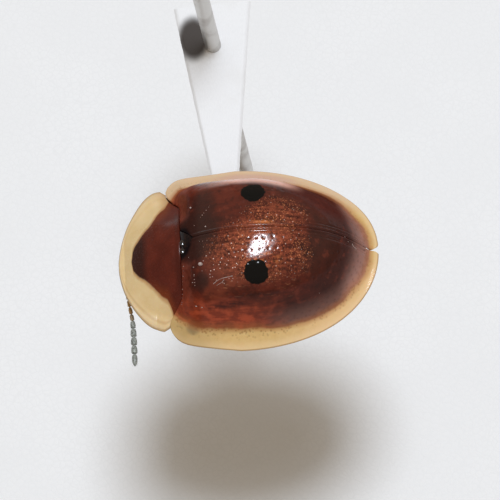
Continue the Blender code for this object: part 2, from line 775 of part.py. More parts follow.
def leg(name, coxa, knee, ankle, toe, material, parent):
    """Thigh, shin and foot, folded under the body, each overlapping the next."""
    coxa, knee, ankle, toe = (Vector((*p, LEG_DEPTH)) for p in (coxa, knee, ankle, toe))
    thigh_line = curve_points([coxa, coxa.lerp(knee, 0.5), knee], 3)
    swell = [0.82, 0.95, 1.0, 1.0, 0.95, 0.85, 0.75]
    thigh = limb("thigh", thigh_line, [THIGH_RADIUS * s for s in swell], material, parent, 0.9)
    shin_line = curve_points([knee, knee.lerp(ankle, 0.5), ankle], 2)
    shin = limb("shin", shin_line, [SHIN_RADIUS * s for s in (0.82, 0.9, 1.0, 1.0, 0.95)],
                material, parent, 0.85)
    foot_line = [ankle.lerp(toe, k / 4) for k in range(5)]
    foot = limb("foot", foot_line, [FOOT_RADIUS * s for s in (0.8, 1.0, 0.85, 1.0, 0.6)],
                material, parent, 0.8)
    return join_pieces(name, [thigh, shin, foot], material, parent)


# Mount

def turned(name, profile, place, material, sides=16):
    """A round body from heights and radii, lowest first, closed to a point or a disc."""
    points, faces = [], []
    for height, radius in profile:
        for k in range(sides):
            turn = 2 * math.pi * k / sides
            points.append(Vector((place[0] + radius * math.cos(turn),
                                  place[1] + radius * math.sin(turn), height)))
    for i in range(len(profile) - 1):
        for k in range(sides):
            a, b = i * sides + k, i * sides + (k + 1) % sides
            faces.append((a, b, b + sides, a + sides))
    faces.append(tuple(range(sides))[::-1])
    faces.append(tuple(range((len(profile) - 1) * sides, len(profile) * sides)))
    return solid(name, points, faces, material)


def pin(material):
    """Steel pin with a small domed head, its point in the foam."""
    profile = [(PIN_FOOT, PIN_TIP_RADIUS), (PIN_FOOT + PIN_TAPER, PIN_RADIUS),
               (PIN_TOP - PIN_HEAD_HEIGHT, PIN_RADIUS)]
    for step in range(1, 7):
        angle = math.pi * (step + 0.5) / 7 - math.pi / 2
        height = PIN_TOP - PIN_HEAD_HEIGHT / 2 * (1 - math.sin(angle))
        profile.append((height, PIN_HEAD_RADIUS * math.cos(angle)))
    return turned("pin", profile, PIN_XY, material)


def prism(name, outline, low, high, material, parent=None):
    count = len(outline)
    points = [(x, y, low) for x, y in outline] + [(x, y, high) for x, y in outline]
    faces = [tuple(range(count))[::-1], tuple(range(count, 2 * count))]
    for k in range(count):
        after = (k + 1) % count
        faces.append((k, after, after + count, k + count))
    return solid(name, points, faces, material, parent)


def hole_cutter(radius, low, high, material):
    return turned("hole", [(low, radius), (high, radius)], PIN_XY, material, 20)


def foam_block(material):
    """Square block of foam that the pin stands in, with a fine bevel on every edge."""
    half = BLOCK_SIDE / 2
    corners = [(-half, -half), (half, -half), (half, half), (-half, half)]
    block = prism("stand_base", corners, 0.0, BLOCK_HEIGHT, material)
    work = bmesh.new()
    work.from_mesh(block.data)
    bmesh.ops.bevel(work, geom=work.edges[:], offset=BLOCK_EDGE * MM, segments=1,
                    affect='EDGES')
    work.to_mesh(block.data)
    work.free()
    room = PIN_RADIUS + FIT_GAP
    cut(block, hole_cutter(room, PIN_FOOT - FIT_GAP, BLOCK_HEIGHT + 1.0, material))
    return block


def card_frame(along, across):
    """A place on the card, along it from the pin towards the tip and across it."""
    across += CARD_AXIS_OFFSET
    return (PIN_XY[0] + along * math.cos(CARD_TURN) - across * math.sin(CARD_TURN),
            PIN_XY[1] + along * math.sin(CARD_TURN) + across * math.cos(CARD_TURN))


def card_point(material):
    """Long triangle of white card, pierced by the pin near its wide end."""
    back, tip = -CARD_BEHIND_PIN, CARD_REACH
    wide, narrow = CARD_BASE_WIDTH / 2, CARD_TIP_WIDTH / 2
    outline = [card_frame(back, -wide), card_frame(tip, -narrow),
               card_frame(tip + narrow, 0.0), card_frame(tip, narrow), card_frame(back, wide)]
    card = prism("card_point", outline, CARD_TOP - CARD_THICKNESS, CARD_TOP, material)
    cut(card, hole_cutter(PIN_RADIUS + FIT_GAP, CARD_TOP - 2.0, CARD_TOP + 2.0, material))
    return card


def glue_drop(material):
    """Clear glue between the tip of the card and the right side of the thorax."""
    x, y = card_frame(CARD_REACH - GLUE_FROM_TIP, 0.0)
    low = CARD_TOP + FIT_GAP
    high = BEETLE_AT[2] + BELLY_LOW - FIT_GAP
    profile = [(low, GLUE_FOOT_RADIUS - GLUE_EDGE), (low + GLUE_EDGE, GLUE_FOOT_RADIUS),
               (high - GLUE_EDGE, GLUE_TOP_RADIUS + GLUE_EDGE), (high, GLUE_TOP_RADIUS)]
    return turned("glue", profile, (x, y), material, 14)


def build():
    clear_scene()
    amber = surface("amber_shell", (0.20, 0.035, 0.012), 0.18)
    pale = surface("pale_shield", (0.42, 0.20, 0.07), 0.25)
    dark = surface("dark_body", (0.06, 0.03, 0.02), 0.4)
    black = surface("black_eye", (0.01, 0.01, 0.01), 0.15)
    horn = surface("brown_leg", (0.16, 0.07, 0.03), 0.35)
    foam = surface("white_foam", (0.85, 0.85, 0.84), 0.9)
    card = surface("white_card", (0.82, 0.82, 0.80), 0.7)
    steel = surface("pin_steel", (0.6, 0.6, 0.6), 0.25, 1.0)
    clear_glue = surface("clear_glue", (0.75, 0.7, 0.55), 0.2)

    place = bpy.data.objects.new("beetle_place", None)
    bpy.context.scene.collection.objects.link(place)
    place.location = Vector(BEETLE_AT) * MM
    place.rotation_euler = (-NOSE_UP, 0.0, 0.0)

    wing_case(1, "elytron_left", amber, place)
    wing_case(-1, "elytron_right", amber, place)
    shield(pale, place)
    scutellum(dark, place)
    abdomen(dark, place)
    thorax(dark, place)
    prothorax(dark, place)
    head_and_eyes(dark, black, place)
    feeler("antenna_left", LEFT_FEELER, horn, place)
    feeler("antenna_right", RIGHT_FEELER, horn, place)
    for name, places in LEG_PLACES.items():
        leg(name, *places, horn, place)
    foam_block(foam)
    pin(steel)
    card_point(card)
    glue_drop(clear_glue)
    bpy.context.view_layer.update()


build()
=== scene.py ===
"""Looks of the tortoise beetle on its card point, pin and block of foam.

The beetle's own pieces are worked out in millimetres in its own frame: +X is its left side,
+Y runs to the tail, +Z is up. They are written in metres and set on the card, a little nose up.
"""

import math
import random

import bpy
import numpy as np
from mathutils import Matrix, Vector, kdtree


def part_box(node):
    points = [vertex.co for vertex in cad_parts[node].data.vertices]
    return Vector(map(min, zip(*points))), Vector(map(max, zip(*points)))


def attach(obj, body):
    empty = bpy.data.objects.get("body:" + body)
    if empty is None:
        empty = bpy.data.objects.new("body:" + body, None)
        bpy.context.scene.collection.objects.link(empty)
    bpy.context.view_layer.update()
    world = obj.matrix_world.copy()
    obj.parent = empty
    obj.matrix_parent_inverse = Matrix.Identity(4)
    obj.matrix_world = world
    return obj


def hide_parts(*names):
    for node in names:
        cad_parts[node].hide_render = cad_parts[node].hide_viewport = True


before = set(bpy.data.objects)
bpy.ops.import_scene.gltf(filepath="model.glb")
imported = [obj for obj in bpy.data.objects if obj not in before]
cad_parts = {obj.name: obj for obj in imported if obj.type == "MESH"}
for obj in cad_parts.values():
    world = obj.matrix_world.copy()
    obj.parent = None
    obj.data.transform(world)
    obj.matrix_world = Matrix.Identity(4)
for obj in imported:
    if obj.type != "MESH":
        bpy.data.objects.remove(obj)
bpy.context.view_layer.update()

MM = 0.001

# How the beetle is held over the card
BEETLE_AT = Vector((5.3, 0.6, 18.6))
NOSE_UP = math.radians(5.05)

# Outline of the wing cases
HALF_WIDTH = 2.96
WIDEST_Y = -0.35
TAIL_REACH = 4.30
TAIL_POWER = 2.1
SHOULDER_REACH = 2.12
SHOULDER_NARROWING = 0.09
SHOULDER_POWER = 10.0
FRONT_CORNER_CUT = 0.12
TAIL_NOTCH_DEPTH = 0.21
TAIL_NOTCH_HALF = 0.16
RIM_Y = WIDEST_Y + TAIL_REACH

# The dome inside the flat margin
DOME_HALF_WIDTH = 2.35
DOME_CENTRE_Y = 0.1
DOME_HALF_LENGTH = 3.0
DOME_LENGTH_SHIFT = 0.52
DOME_SHIFT_SOFTNESS = 1.2
DOME_TOP = 2.08
DOME_SQUARENESS = 2.5
DOME_TAIL_Y = DOME_CENTRE_Y + DOME_HALF_LENGTH + DOME_LENGTH_SHIFT * 0.94
SEAM_END_Y = DOME_CENTRE_Y + 0.985 * (DOME_HALF_LENGTH + DOME_LENGTH_SHIFT * 0.945)
CROWN_TILT = 0.07
CROWN_SHARE = 0.55
CROWN_SHARE_SIDE = 0.32
FLANK_POWER = 6.0
FLANK_POWER_SIDE = 8.0
RIM_DROP = 0.36
FRONT_RISE_Y = 2.8
FRONT_DIP = 0.1
MARGIN_FALL = 0.27
MARGIN_FALL_TAIL = 0.1

# Shield over the head; its beads and groove as distance from an edge, width and height
SHIELD_HALF_WIDTH = 2.28
SHIELD_CORNER_CUT = 0.10
SHIELD_WIDEST_Y = -2.59
SHIELD_FRONT_REACH = 1.30
SHIELD_POWER = 1.72
SHIELD_HEIGHT = 1.08
SHIELD_SWELL_BACK = 2.1
SHIELD_SWELL_FRONT = 1.35
SHIELD_ROUNDNESS = 1.05
SHIELD_SOFTNESS = 0.16
SHIELD_LENGTH = 1.72
SHIELD_LEAN = math.radians(5.0)
HIND_BEAD = (0.05, 0.04, 0.006)
HIND_GROOVE = (0.17, 0.06, 0.01)
BRIM_BEAD = (0.985, 0.02, 0.01)
SHIELD_HOLLOW = (1.0, -2.3, 0.05)
SHIELD_HOLLOW_DEPTH = 0.03
BASE_Y = -2.0
BASE_SWEEP = 0.42
BASE_BEND_X = 1.35
BASE_BEND_WIDTH = 0.85

# The base of a wing case slopes down to the shield
FRONT_SLOPE = 0.33
FRONT_STEP = 0.05
FRONT_SLOPE_X = 0.5

# Real thicknesses and gaps
SEAM_HALF = 0.012
JOINT_HALF = 0.012
SHELL = 0.11
RIM_SHELL = 0.075
SHIELD_EXTRA = 0.03

# Small triangular plate and the two knobs beside it
PLATE_HALF = 0.43
PLATE_LENGTH = 0.40
PLATE_THICKNESS = 0.14
PLATE_CROWN = 0.05
PLATE_SINK = 0.03
KNOB_XS = (0.05, 0.31)
KNOB_Y = -1.93
KNOB_SIZE = (0.10, 0.085, 0.035)
KNOB_OVER = 0.045

# Skin in the joint between shield and wing cases
COLLAR_HALF = 2.12
COLLAR_AHEAD = 0.10
COLLAR_LENGTH = 0.22
COLLAR_THICKNESS = 0.25
COLLAR_THICKNESS_SIDE = 0.05

# Rows of pits on the wing cases, a loose scatter of small ones, and some on the margin
PIT_ROW_STEP = 0.355
PIT_ROW_START = 0.92
PIT_STEP = 0.25
FIRST_PIT = 0.16
PIT_STAGGER = 0.1
PIT_FREE_END = 0.5
PIT_WANDER = 1.3
PIT_FADE = 0.55
PIT_RADIUS = 0.042
PIT_RADIUS_SHARES = (0.8, 1.15)
PIT_DEPTH = 0.009
PIT_DEPTH_SHARES = (0.7, 1.2)
PIT_STEP_SHARES = (0.75, 1.25)
SCATTERED_PITS = 620
SCATTER_ROWS = (0.03, 0.66)
SCATTER_COLUMNS = (0.03, 0.85)
SCATTER_RADII = (0.016, 0.024)
SCATTER_DEPTHS = (0.0006, 0.0020)
MARGIN_PITS = 260
MARGIN_PIT_ROWS = (0.02, 0.95)
MARGIN_PIT_SPREAD = 0.3
MARGIN_PIT_RADII = (0.025, 0.045)
MARGIN_PIT_DEPTHS = (0.003, 0.008)

# Relief of a wing case: beads and grooves as distance from the seam, width and height,
# hollows as depth, middle x and y, and spread
SEAM_BEAD = (0.060, 0.036, 0.028)
SEAM_GROOVE_AT = 0.135
SEAM_GROOVE_WIDTH = 0.035
SEAM_GROOVE_DEPTH = 0.006
SEAM_GROOVE_TAIL = 0.016
SECOND_GROOVE = (0.215, 0.028, 0.016)
UNREST = 0.004
BASE_HOLLOWS = ((0.02, 1.47, -1.35, 0.08), (0.012, 0.62, -1.4, 0.09))
TOOTH_HEIGHT = 0.016
TOOTH_STEP = 0.11
TOOTH_AT = 0.06
TOOTH_REACH = 0.035
TOOTH_FROM_X = 0.45

# The dome flows out into the margin
FOOT_LIFT = 0.19
FOOT_LIFT_TAIL = 0.15
FOOT_LIFT_TAIL_Y = 1.5
BASE_LIFT = 0.02
BASE_LIFT_LENGTH = 0.55

# How finely the shapes are divided
CASE_ROWS = 340
DOME_COLUMNS = 165
MARGIN_COLUMNS = 34
SHIELD_ROWS = 120
SHIELD_COLUMNS = 100
SHOULDER_STEPS = 400
TAIL_STEPS = 480
NOTCH_STEPS = 24
SHIELD_EDGE_STEPS = 320
PLATE_STEPS = 24
COLLAR_COLUMNS = 120
HIND_STEPS = (120, 44)
MIDDLE_STEPS = (80, 44)
FORE_STEPS = (60, 30)
HALVINGS = 30

# Under the shell
BELLY_LOW = -0.64
BELLY_LIFT = 0.3
BELLY_TAIL_LIFT = 0.32
BELLY_TAIL_FROM = 1.2
BELLY_TAIL_LENGTH = 2.0
BODY_LEAST = 0.12
WAIST_Y = 0.3
NECK_Y = -1.5
FORE_BODY_Y = -2.95
FORE_BODY_HALF = (0.75, 1.28)
UNDER_GAP = 0.45          # from the outer face of the shell down to the body's back
HIND_PLATES = (0.0, 0.36, 0.52, 0.66, 0.80, 1.2)
HIND_PLATE_STEP = 0.07
FLANK_FOLD = (0.86, 0.05, 0.04)
LEG_SOCKETS = ((0.5, -1.05), (0.45, 0.2))
SOCKET_HEIGHT = 0.09
FORE_SOCKET = (0.45, -2.3)
FORE_SOCKET_HEIGHT = 0.08
SOCKET_SPREAD = 0.05
FORE_BODY_LEAST = 0.15

# Head, eyes and feelers; the head's forms as offset from its middle, half sizes and tint
HEAD = np.array([0.116, -3.33, -0.64])
HEAD_FORMS = (((0, 0, 0), (0.46, 0.27, 0.39), 0.0), ((0, -0.05, -0.27), (0.27, 0.2, 0.27), 0.0),
              ((0, -0.20, -0.05), (0.17, 0.09, 0.2), 0.0),
              ((0, -0.17, -0.44), (0.17, 0.07, 0.08), 0.4))
JAW_AT = (0.1, -0.12, -0.5)
JAW_SIZE = (0.09, 0.07, 0.12)
PALP_ROOT = (0.16, -0.04, -0.48)
PALP_TIP = (0.2, -0.07, -0.6)
PALP_RADII = (0.025, 0.035, 0.03)
BROW_KNOB_AT = (0.15, -0.25, 0.10)
BROW_KNOB_SIZE = (0.09, 0.05, 0.09)
LIP_HAIR_ROOT = (0.05, -0.2, -0.46)
LIP_HAIR_TIP = (0.08, -0.3, -0.58)
LIP_HAIR_RADIUS = 0.006
EYE_OUT = 0.40
EYE_Y = -3.27
EYE_Z = -0.56
EYE_SIZE = (0.17, 0.16, 0.22)
FEELER_ROOT = (0.17, -0.27, 0.08)
FEELER_LEFT = ((0.66, -3.70, -0.74), (1.2, -3.63, -0.80), (1.8, -3.55, -0.84),
               (3.12, -3.53, -0.86))
FEELER_RIGHT = ((-0.42, -3.70, -0.76), (-1.2, -3.55, -0.88), (-1.95, -3.05, -0.92),
                (-2.35, -2.1, -0.96))
SEGMENT_LENGTHS = (0.30, 0.17, 0.24, 0.22, 0.22, 0.20, 0.24, 0.26, 0.26, 0.26, 0.36)
SEGMENT_RADII = (0.085, 0.062, 0.055, 0.055, 0.058, 0.064, 0.080, 0.090, 0.094, 0.094, 0.086)
SEGMENT_SHAPE = (0.72, 0.88, 0.98, 1.0, 0.98, 0.86)
LAST_SEGMENT_SHAPE = (0.62, 0.92, 1.0, 0.95, 0.8, 0.45)
DARK_FROM = 5
SEGMENT_HAIRS = 8
DARK_SEGMENT_HAIRS = 26
FEELER_HAIR_RADIUS = 0.0035

# Legs: socket, knee, ankle and toe of each, seen from above; pads as start, end and radius,
# claws as steps ahead, outwards and down
LEG_Z = -1.06
LEGS = {
    "front_left": ((0.38, -2.30), (1.45, -2.72), (1.90, -2.05), (1.45, -1.70)),
    "front_right": ((-0.38, -2.30), (-1.35, -2.62), (-1.55, -1.95), (-1.1, -1.70)),
    "middle_left": ((0.55, -1.05), (1.85, -0.95), (1.80, -0.10), (1.20, 0.20)),
    "middle_right": ((-0.42, -1.15), (-0.45, 0.10), (-1.55, 0.27), (-2.05, 0.57)),
    "hind_left": ((0.45, 0.85), (1.70, 1.05), (1.45, 1.90), (0.95, 2.30)),
    "hind_right": ((-0.45, 0.85), (-1.70, 1.05), (-1.45, 1.90), (-0.95, 2.30))}
SOCKET_SIZE = (0.2, 0.2, 0.24)
KNEE_SIZE = (0.13, 0.13, 0.11)
THIGH_RADII = (0.12, 0.17, 0.22, 0.24, 0.23, 0.19, 0.14)
SHIN_RADII = (0.08, 0.11, 0.14, 0.16, 0.19, 0.17)
FOOT_PADS = ((0.0, 0.26, 0.11), (0.24, 0.46, 0.13), (0.44, 0.74, 0.16))
CLAW_BENDS = ((0.06, 0.05, 0.0), (0.11, 0.075, 0.02), (0.12, 0.07, 0.07))
SHIN_HAIRS = 70
SHIN_HAIR_RADIUS = 0.005
SOLE_HAIRS = 90
SOLE_HAIR_RADIUS = 0.004

# Dust: large grains as place and size, lines of grains as start, end and number
DUST_AREA = ((0.0, 1.7), (-1.8, 2.2))
DUST_GRAINS = 46
GRAIN_SIZES = (0.008, 0.017)
LARGE_GRAINS = ((0.94, -1.41, 0.060), (-0.99, -1.64, 0.026), (-0.23, -1.21, 0.022),
                (1.97, -1.59, 0.026), (2.02, -1.42, 0.024), (0.97, -1.62, 0.020))
GRAIN_LINES = (((-0.30, -1.60), (-0.95, -1.00), 9), ((1.20, -1.62), (1.52, -1.60), 4),
               ((0.70, -1.92), (1.80, -2.04), 10))
LINE_GRAIN_SIZES = (0.010, 0.018)
FIBRES = (((1.57, -1.05), (1.47, -0.85), (1.42, -0.46)),
          ((1.62, -0.95), (1.56, -0.80), (1.50, -0.72)),
          ((1.82, 1.90), (1.77, 2.00), (1.70, 2.12)), ((-0.05, 2.93), (0.10, 3.05), (0.02, 3.16)),
          ((0.02, 3.16), (0.16, 3.20), (0.20, 3.30)))
FIBRE_RADIUS = 0.011

# Card point
CARD_THICKNESS = 0.2
CARD_TOP = 17.4
CARD_BEHIND_PIN = 1.45
CARD_REACH = 6.5
CARD_BASE_WIDTH = 2.36
CARD_TIP_WIDTH = 0.26
CARD_AXIS_OFFSET = 0.05
CARD_TURN = math.radians(1.7)
CARD_ROWS = 150
CARD_COLUMNS = 40
CARD_LIP = 0.07
CARD_LIP_WIDTH = 0.12
CARD_EDGE_DISH = 0.06
CARD_EDGE_WIDTH = 0.07

# Pin, glue and foam
PIN_XY = (-2.37, -0.28)
PIN_RADIUS = 0.25
PIN_TIP_RADIUS = 0.035
PIN_TAPER = 2.2
PIN_HEAD_RADIUS = 0.6
PIN_HEAD_HEIGHT = 0.66
PIN_HEAD_STEPS = 16
GLUE_SINK = 0.13
GLUE_WAIST = 0.34
GLUE_SPREAD = 0.14
GLUE_STEPS = 14
FOAM_EDGE = 0.35
FOAM_STEPS = 60
FOAM_WAVES = 6

# Colours of the wing cases
HORN_DEEP = (0.052, 0.0135, 0.0090)
HORN_RED = (0.108, 0.0190, 0.0105)
HORN_WARM = (0.235, 0.054, 0.026)
DARK_BLOTCH = (0.036, 0.010, 0.007)
RED_BLOTCH = (0.200, 0.040, 0.022)
TAIL_SHADE = (0.095, 0.021, 0.015)
FOOT_RED = (0.34, 0.052, 0.018)
FOOT_BRIGHT_RED = (0.60, 0.100, 0.036)
FURROW_BROWN = (0.050, 0.010, 0.006)
HEM_BROWN = (0.230, 0.056, 0.034)
SHADOW_BROWN = (0.036, 0.0130, 0.0100)
PLATE_SHADOW_BLACK = (0.008, 0.0050, 0.0055)
# Pink on the dome's foot: own milky colour with painted reflection; far pink: painted reflection
# only
BLOOM_AND_SHEEN_PINK = (0.62, 0.33, 0.27)
FAR_SHEEN_PINK = (0.92, 0.48, 0.37)
# Copper bed and streaks: painted glow round the highlight; base rose: painted sheen; spark pink:
# painted glint specks
COPPER_GLOW_BED = (0.34, 0.080, 0.036)
COPPER_GLOW_STREAK = (0.70, 0.22, 0.05)
COPPER_DARK = (0.46, 0.105, 0.042)
COPPER_BRIGHT = (0.85, 0.30, 0.12)
BASE_ROSE_SHEEN = (0.20, 0.065, 0.040)
GAP_BROWN = (0.040, 0.0085, 0.005)
GLINT_SPARK_PINK = (0.90, 0.66, 0.56)
THREAD_BROWN = (0.50, 0.21, 0.10)
SPOT_BLACK = (0.0022, 0.002, 0.002)
# painted shade in the pits
PIT_SHADE_BROWN = (0.020, 0.005, 0.003)
CREAM = (0.62, 0.40, 0.15)
CREAM_LIGHT = (0.76, 0.53, 0.24)
CREAM_EDGE = (0.84, 0.62, 0.35)
# Far creams: painted reflection on the far side; tail cream: painted light on the near side
CREAM_FAR_SHEEN = (0.70, 0.50, 0.36)
CREAM_FAR_ROSE_SHEEN = (0.66, 0.43, 0.32)
CREAM_FRONT = (0.50, 0.34, 0.15)
CREAM_TAIL_LIT = (0.95, 0.63, 0.36)
FRECKLE_BROWN = (0.22, 0.10, 0.03)
SMUDGE_BROWN = (0.24, 0.17, 0.09)
RIM_BROWN = (0.34, 0.14, 0.04)
HALO_BROWN = (0.45, 0.17, 0.06)

# Oval patches on the wing cases: middle x and y, half width and half length, and before them
# a strength in those that work by more or less
WARM_PATCHES = ((0.76, 0.80, 0.10, 1.15, 1.75), (0.45, -0.10, 0.9, 0.75, 1.4),
                (0.22, 1.55, -0.95, 0.85, 0.9), (0.30, -1.45, -0.9, 0.6, 1.5),
                (0.25, -0.5, 0.3, 1.3, 2.0), (0.42, 1.75, -0.9, 0.42, 1.0),
                (0.24, 1.55, 0.90, 0.65, 1.4), (0.40, -1.85, -1.45, 0.55, 0.8))
FURROW_PATCH = (2.05, -0.62, 0.075, 0.95)
SEAM_SHADOW_PATCH = (0.25, -1.50, 0.75, 0.95)
LEFT_SHADOW_PATCH = (1.45, -1.42, 0.36, 0.36)
RIGHT_SHADOW_PATCH = (-1.05, -1.25, 0.7, 0.55)
PLATE_SHADOW_PATCH = (0.05, -1.95, 0.62, 0.36)
# Painted glow round the highlight on either wing case, and painted pinkish sheen towards the base
LEFT_GLOW_PATCH = (0.60, 0.40, 1.20, 2.0)
RIGHT_GLOW_PATCH = (-0.30, 0.9, 0.95, 1.25)
ROSE_SHEEN_PATCH = (0.95, -0.75, 0.85, 0.75)
STREAK_PATCHES = ((-0.17, 0.62, 0.13, 0.55), (1.00, 0.62, 0.25, 0.5))
THREAD_PATCH = (1.55, 0.2, 0.55, 1.6)
SMUDGE_PATCH = (2.34, -1.72, 0.20, 0.26)
CREAM_INWARD_PATCHES = ((0.035, 2.1, 1.9, 1.3, 1.9), (0.055, -2.0, 2.0, 1.3, 1.9))

# Black spots on the wing cases
SPOT_X = 1.34
SPOT_X_SHIFT = 0.12
SPOT_Y = 0.25
SPOT_HALF_WIDTH = 0.340
SPOT_HALF_LENGTH = 0.375

# Colours of the shield, and the front of its dark bell
BELL_BROWN = (0.084, 0.0130, 0.0070)
BELL_RED = (0.126, 0.0190, 0.0095)
BELL_FRONT_BLACK = (0.036, 0.0080, 0.0055)
BELL_FLANK_RED = (0.20, 0.040, 0.010)
BELL_HIND_BROWN = (0.045, 0.008, 0.005)
BRIM_CREAM = (0.69, 0.49, 0.23)
BRIM_LIGHT = (0.81, 0.62, 0.35)
BRIM_GREY = (0.66, 0.52, 0.33)
BRIM_EDGE = (0.38, 0.20, 0.07)
BRIM_CORNER = (0.42, 0.20, 0.075)
BRIM_LINE = (0.38, 0.2, 0.08)
BRIM_HALO = (0.42, 0.16, 0.04)
BELL_REACH_Y = -3.55
BELL_FRONT_Y = -3.46

# Colours of body, limbs, plate, eyes and dust
BODY_COLOURS = ((0.022, 0.008, 0.004), (0.075, 0.028, 0.012))
HEAD_COLOURS = ((0.05, 0.02, 0.008), (0.16, 0.07, 0.025))
COLLAR_COLOURS = ((0.05, 0.012, 0.006), (0.16, 0.040, 0.016))
LIMB_HONEY = (0.52, 0.33, 0.12)
LIMB_BROWN = (0.36, 0.19, 0.06)
FEELER_GREY = (0.100, 0.105, 0.095)
FEELER_DOWN = (0.40, 0.42, 0.38)
PLATE_BLACK = (0.007, 0.0035, 0.004)
PLATE_BROWN = (0.024, 0.009, 0.007)
EYE_BLACK = (0.004, 0.004, 0.005)
EYE_BROWN = (0.02, 0.014, 0.01)
DUST_GREY = (0.50, 0.45, 0.42)
DUST_ROSE = (0.52, 0.27, 0.21)
DUST_BROWN = (0.30, 0.22, 0.19)

# Colours of card, pin, glue, foam and floor
CARD_WHITE = (0.88, 0.88, 0.89)
CARD_FIBRE = (0.92, 0.92, 0.93)
CARD_MOTTLE = (0.84, 0.83, 0.82)
CARD_DARK_PATCH = (0.045, 0.034, 0.028)
DARK_PATCH_OFF_PIN = (-0.34, -0.62)
DARK_PATCH_SIZE = (1.0, 0.66)
STEEL_BRIGHT = (0.60, 0.58, 0.55)
STEEL_DULL = (0.42, 0.39, 0.36)
GLUE_YELLOW = (0.88, 0.80, 0.62)
GLUE_DARK = (0.80, 0.68, 0.45)
FOAM_WHITE = (0.885, 0.885, 0.89)
FOAM_LIGHT = (0.905, 0.905, 0.91)
FOAM_WALL = (0.875, 0.875, 0.88)
FOAM_CELL = 0.2
FLOOR_GREY = (0.80, 0.80, 0.80)
FLOOR_LIGHT = (0.82, 0.82, 0.82)

# Lamps and the room around
LAMP_DISTANCE = 0.6
LAMP_COLOUR = (0.92, 1.0, 1.10)
LAMP_TILT = math.radians(7.9)
LAMP_TURN = math.radians(128.5)
SMALL_LAMP_WIDTH = 0.15
SMALL_LAMP_POWER = 1.95
WIDE_LAMP_WIDTH = 0.24
WIDE_LAMP_POWER = 0.60
ROOM_COLOUR = (0.325, 0.28, 0.225)
ROOM_STRENGTH = 1.0
FLOOR_HALF = 1.5

# The photograph's view
CAMERA_HEIGHT_ANGLE = math.radians(66.0)
CAMERA_TURN = math.radians(11.45)
CAMERA_ROLL = math.radians(15.0)
CAMERA_DISTANCE = 155.0
PICTURE_SIDE = 500
PIXELS_PER_MM = 33.0
BEETLE_PIXEL = (247.2, 255.0)
SENSOR = 36.0


# Shader maths

class Wire:
    """One socket of a finish. Plain sums on wires add the nodes that work them out."""

    def __init__(self, finish, socket):
        self.finish = finish
        self.socket = socket

    def sum(self, operation, first, second=0.0):
        vectors = any(isinstance(v, (tuple, Vector)) or
                      isinstance(v, Wire) and v.socket.type == 'VECTOR' for v in (first, second))
        kind = "ShaderNodeVectorMath" if vectors else "ShaderNodeMath"
        return self.finish.node(kind, {"operation": operation}, {0: first, 1: second})

    def __add__(self, other):
        return self.sum("ADD", self, other)

    def __radd__(self, other):
        return self.sum("ADD", other, self)

    def __sub__(self, other):
        return self.sum("SUBTRACT", self, other)

    def __rsub__(self, other):
        return self.sum("SUBTRACT", other, self)

    def __mul__(self, other):
        return self.sum("MULTIPLY", self, other)

    def __rmul__(self, other):
        return self.sum("MULTIPLY", other, self)

    def __truediv__(self, other):
        return self.sum("DIVIDE", self, other)

    def __pow__(self, other):
        return self.sum("POWER", self, other)

    def __abs__(self):
        return self.sum("ABSOLUTE", self)

    def most(self, other):
        return self.sum("MAXIMUM", self, other)

    def least(self, other):
        return self.sum("MINIMUM", self, other)

    def rise(self, low, high):
        """0 below low, 1 above high, smooth between; falls instead where low is the larger."""
        return self.finish.node("ShaderNodeMapRange", {"interpolation_type": 'SMOOTHSTEP'},
                                {"Value": self, "From Min": low, "From Max": high})


def hill(x, y, middle_x, middle_y, half_x, half_y):
    """1 in the middle of an oval patch, falling smoothly to 0 at its edge."""
    far = ((x - middle_x) / half_x) ** 2.0 + ((y - middle_y) / half_y) ** 2.0
    return far.rise(1.0, 0.0)


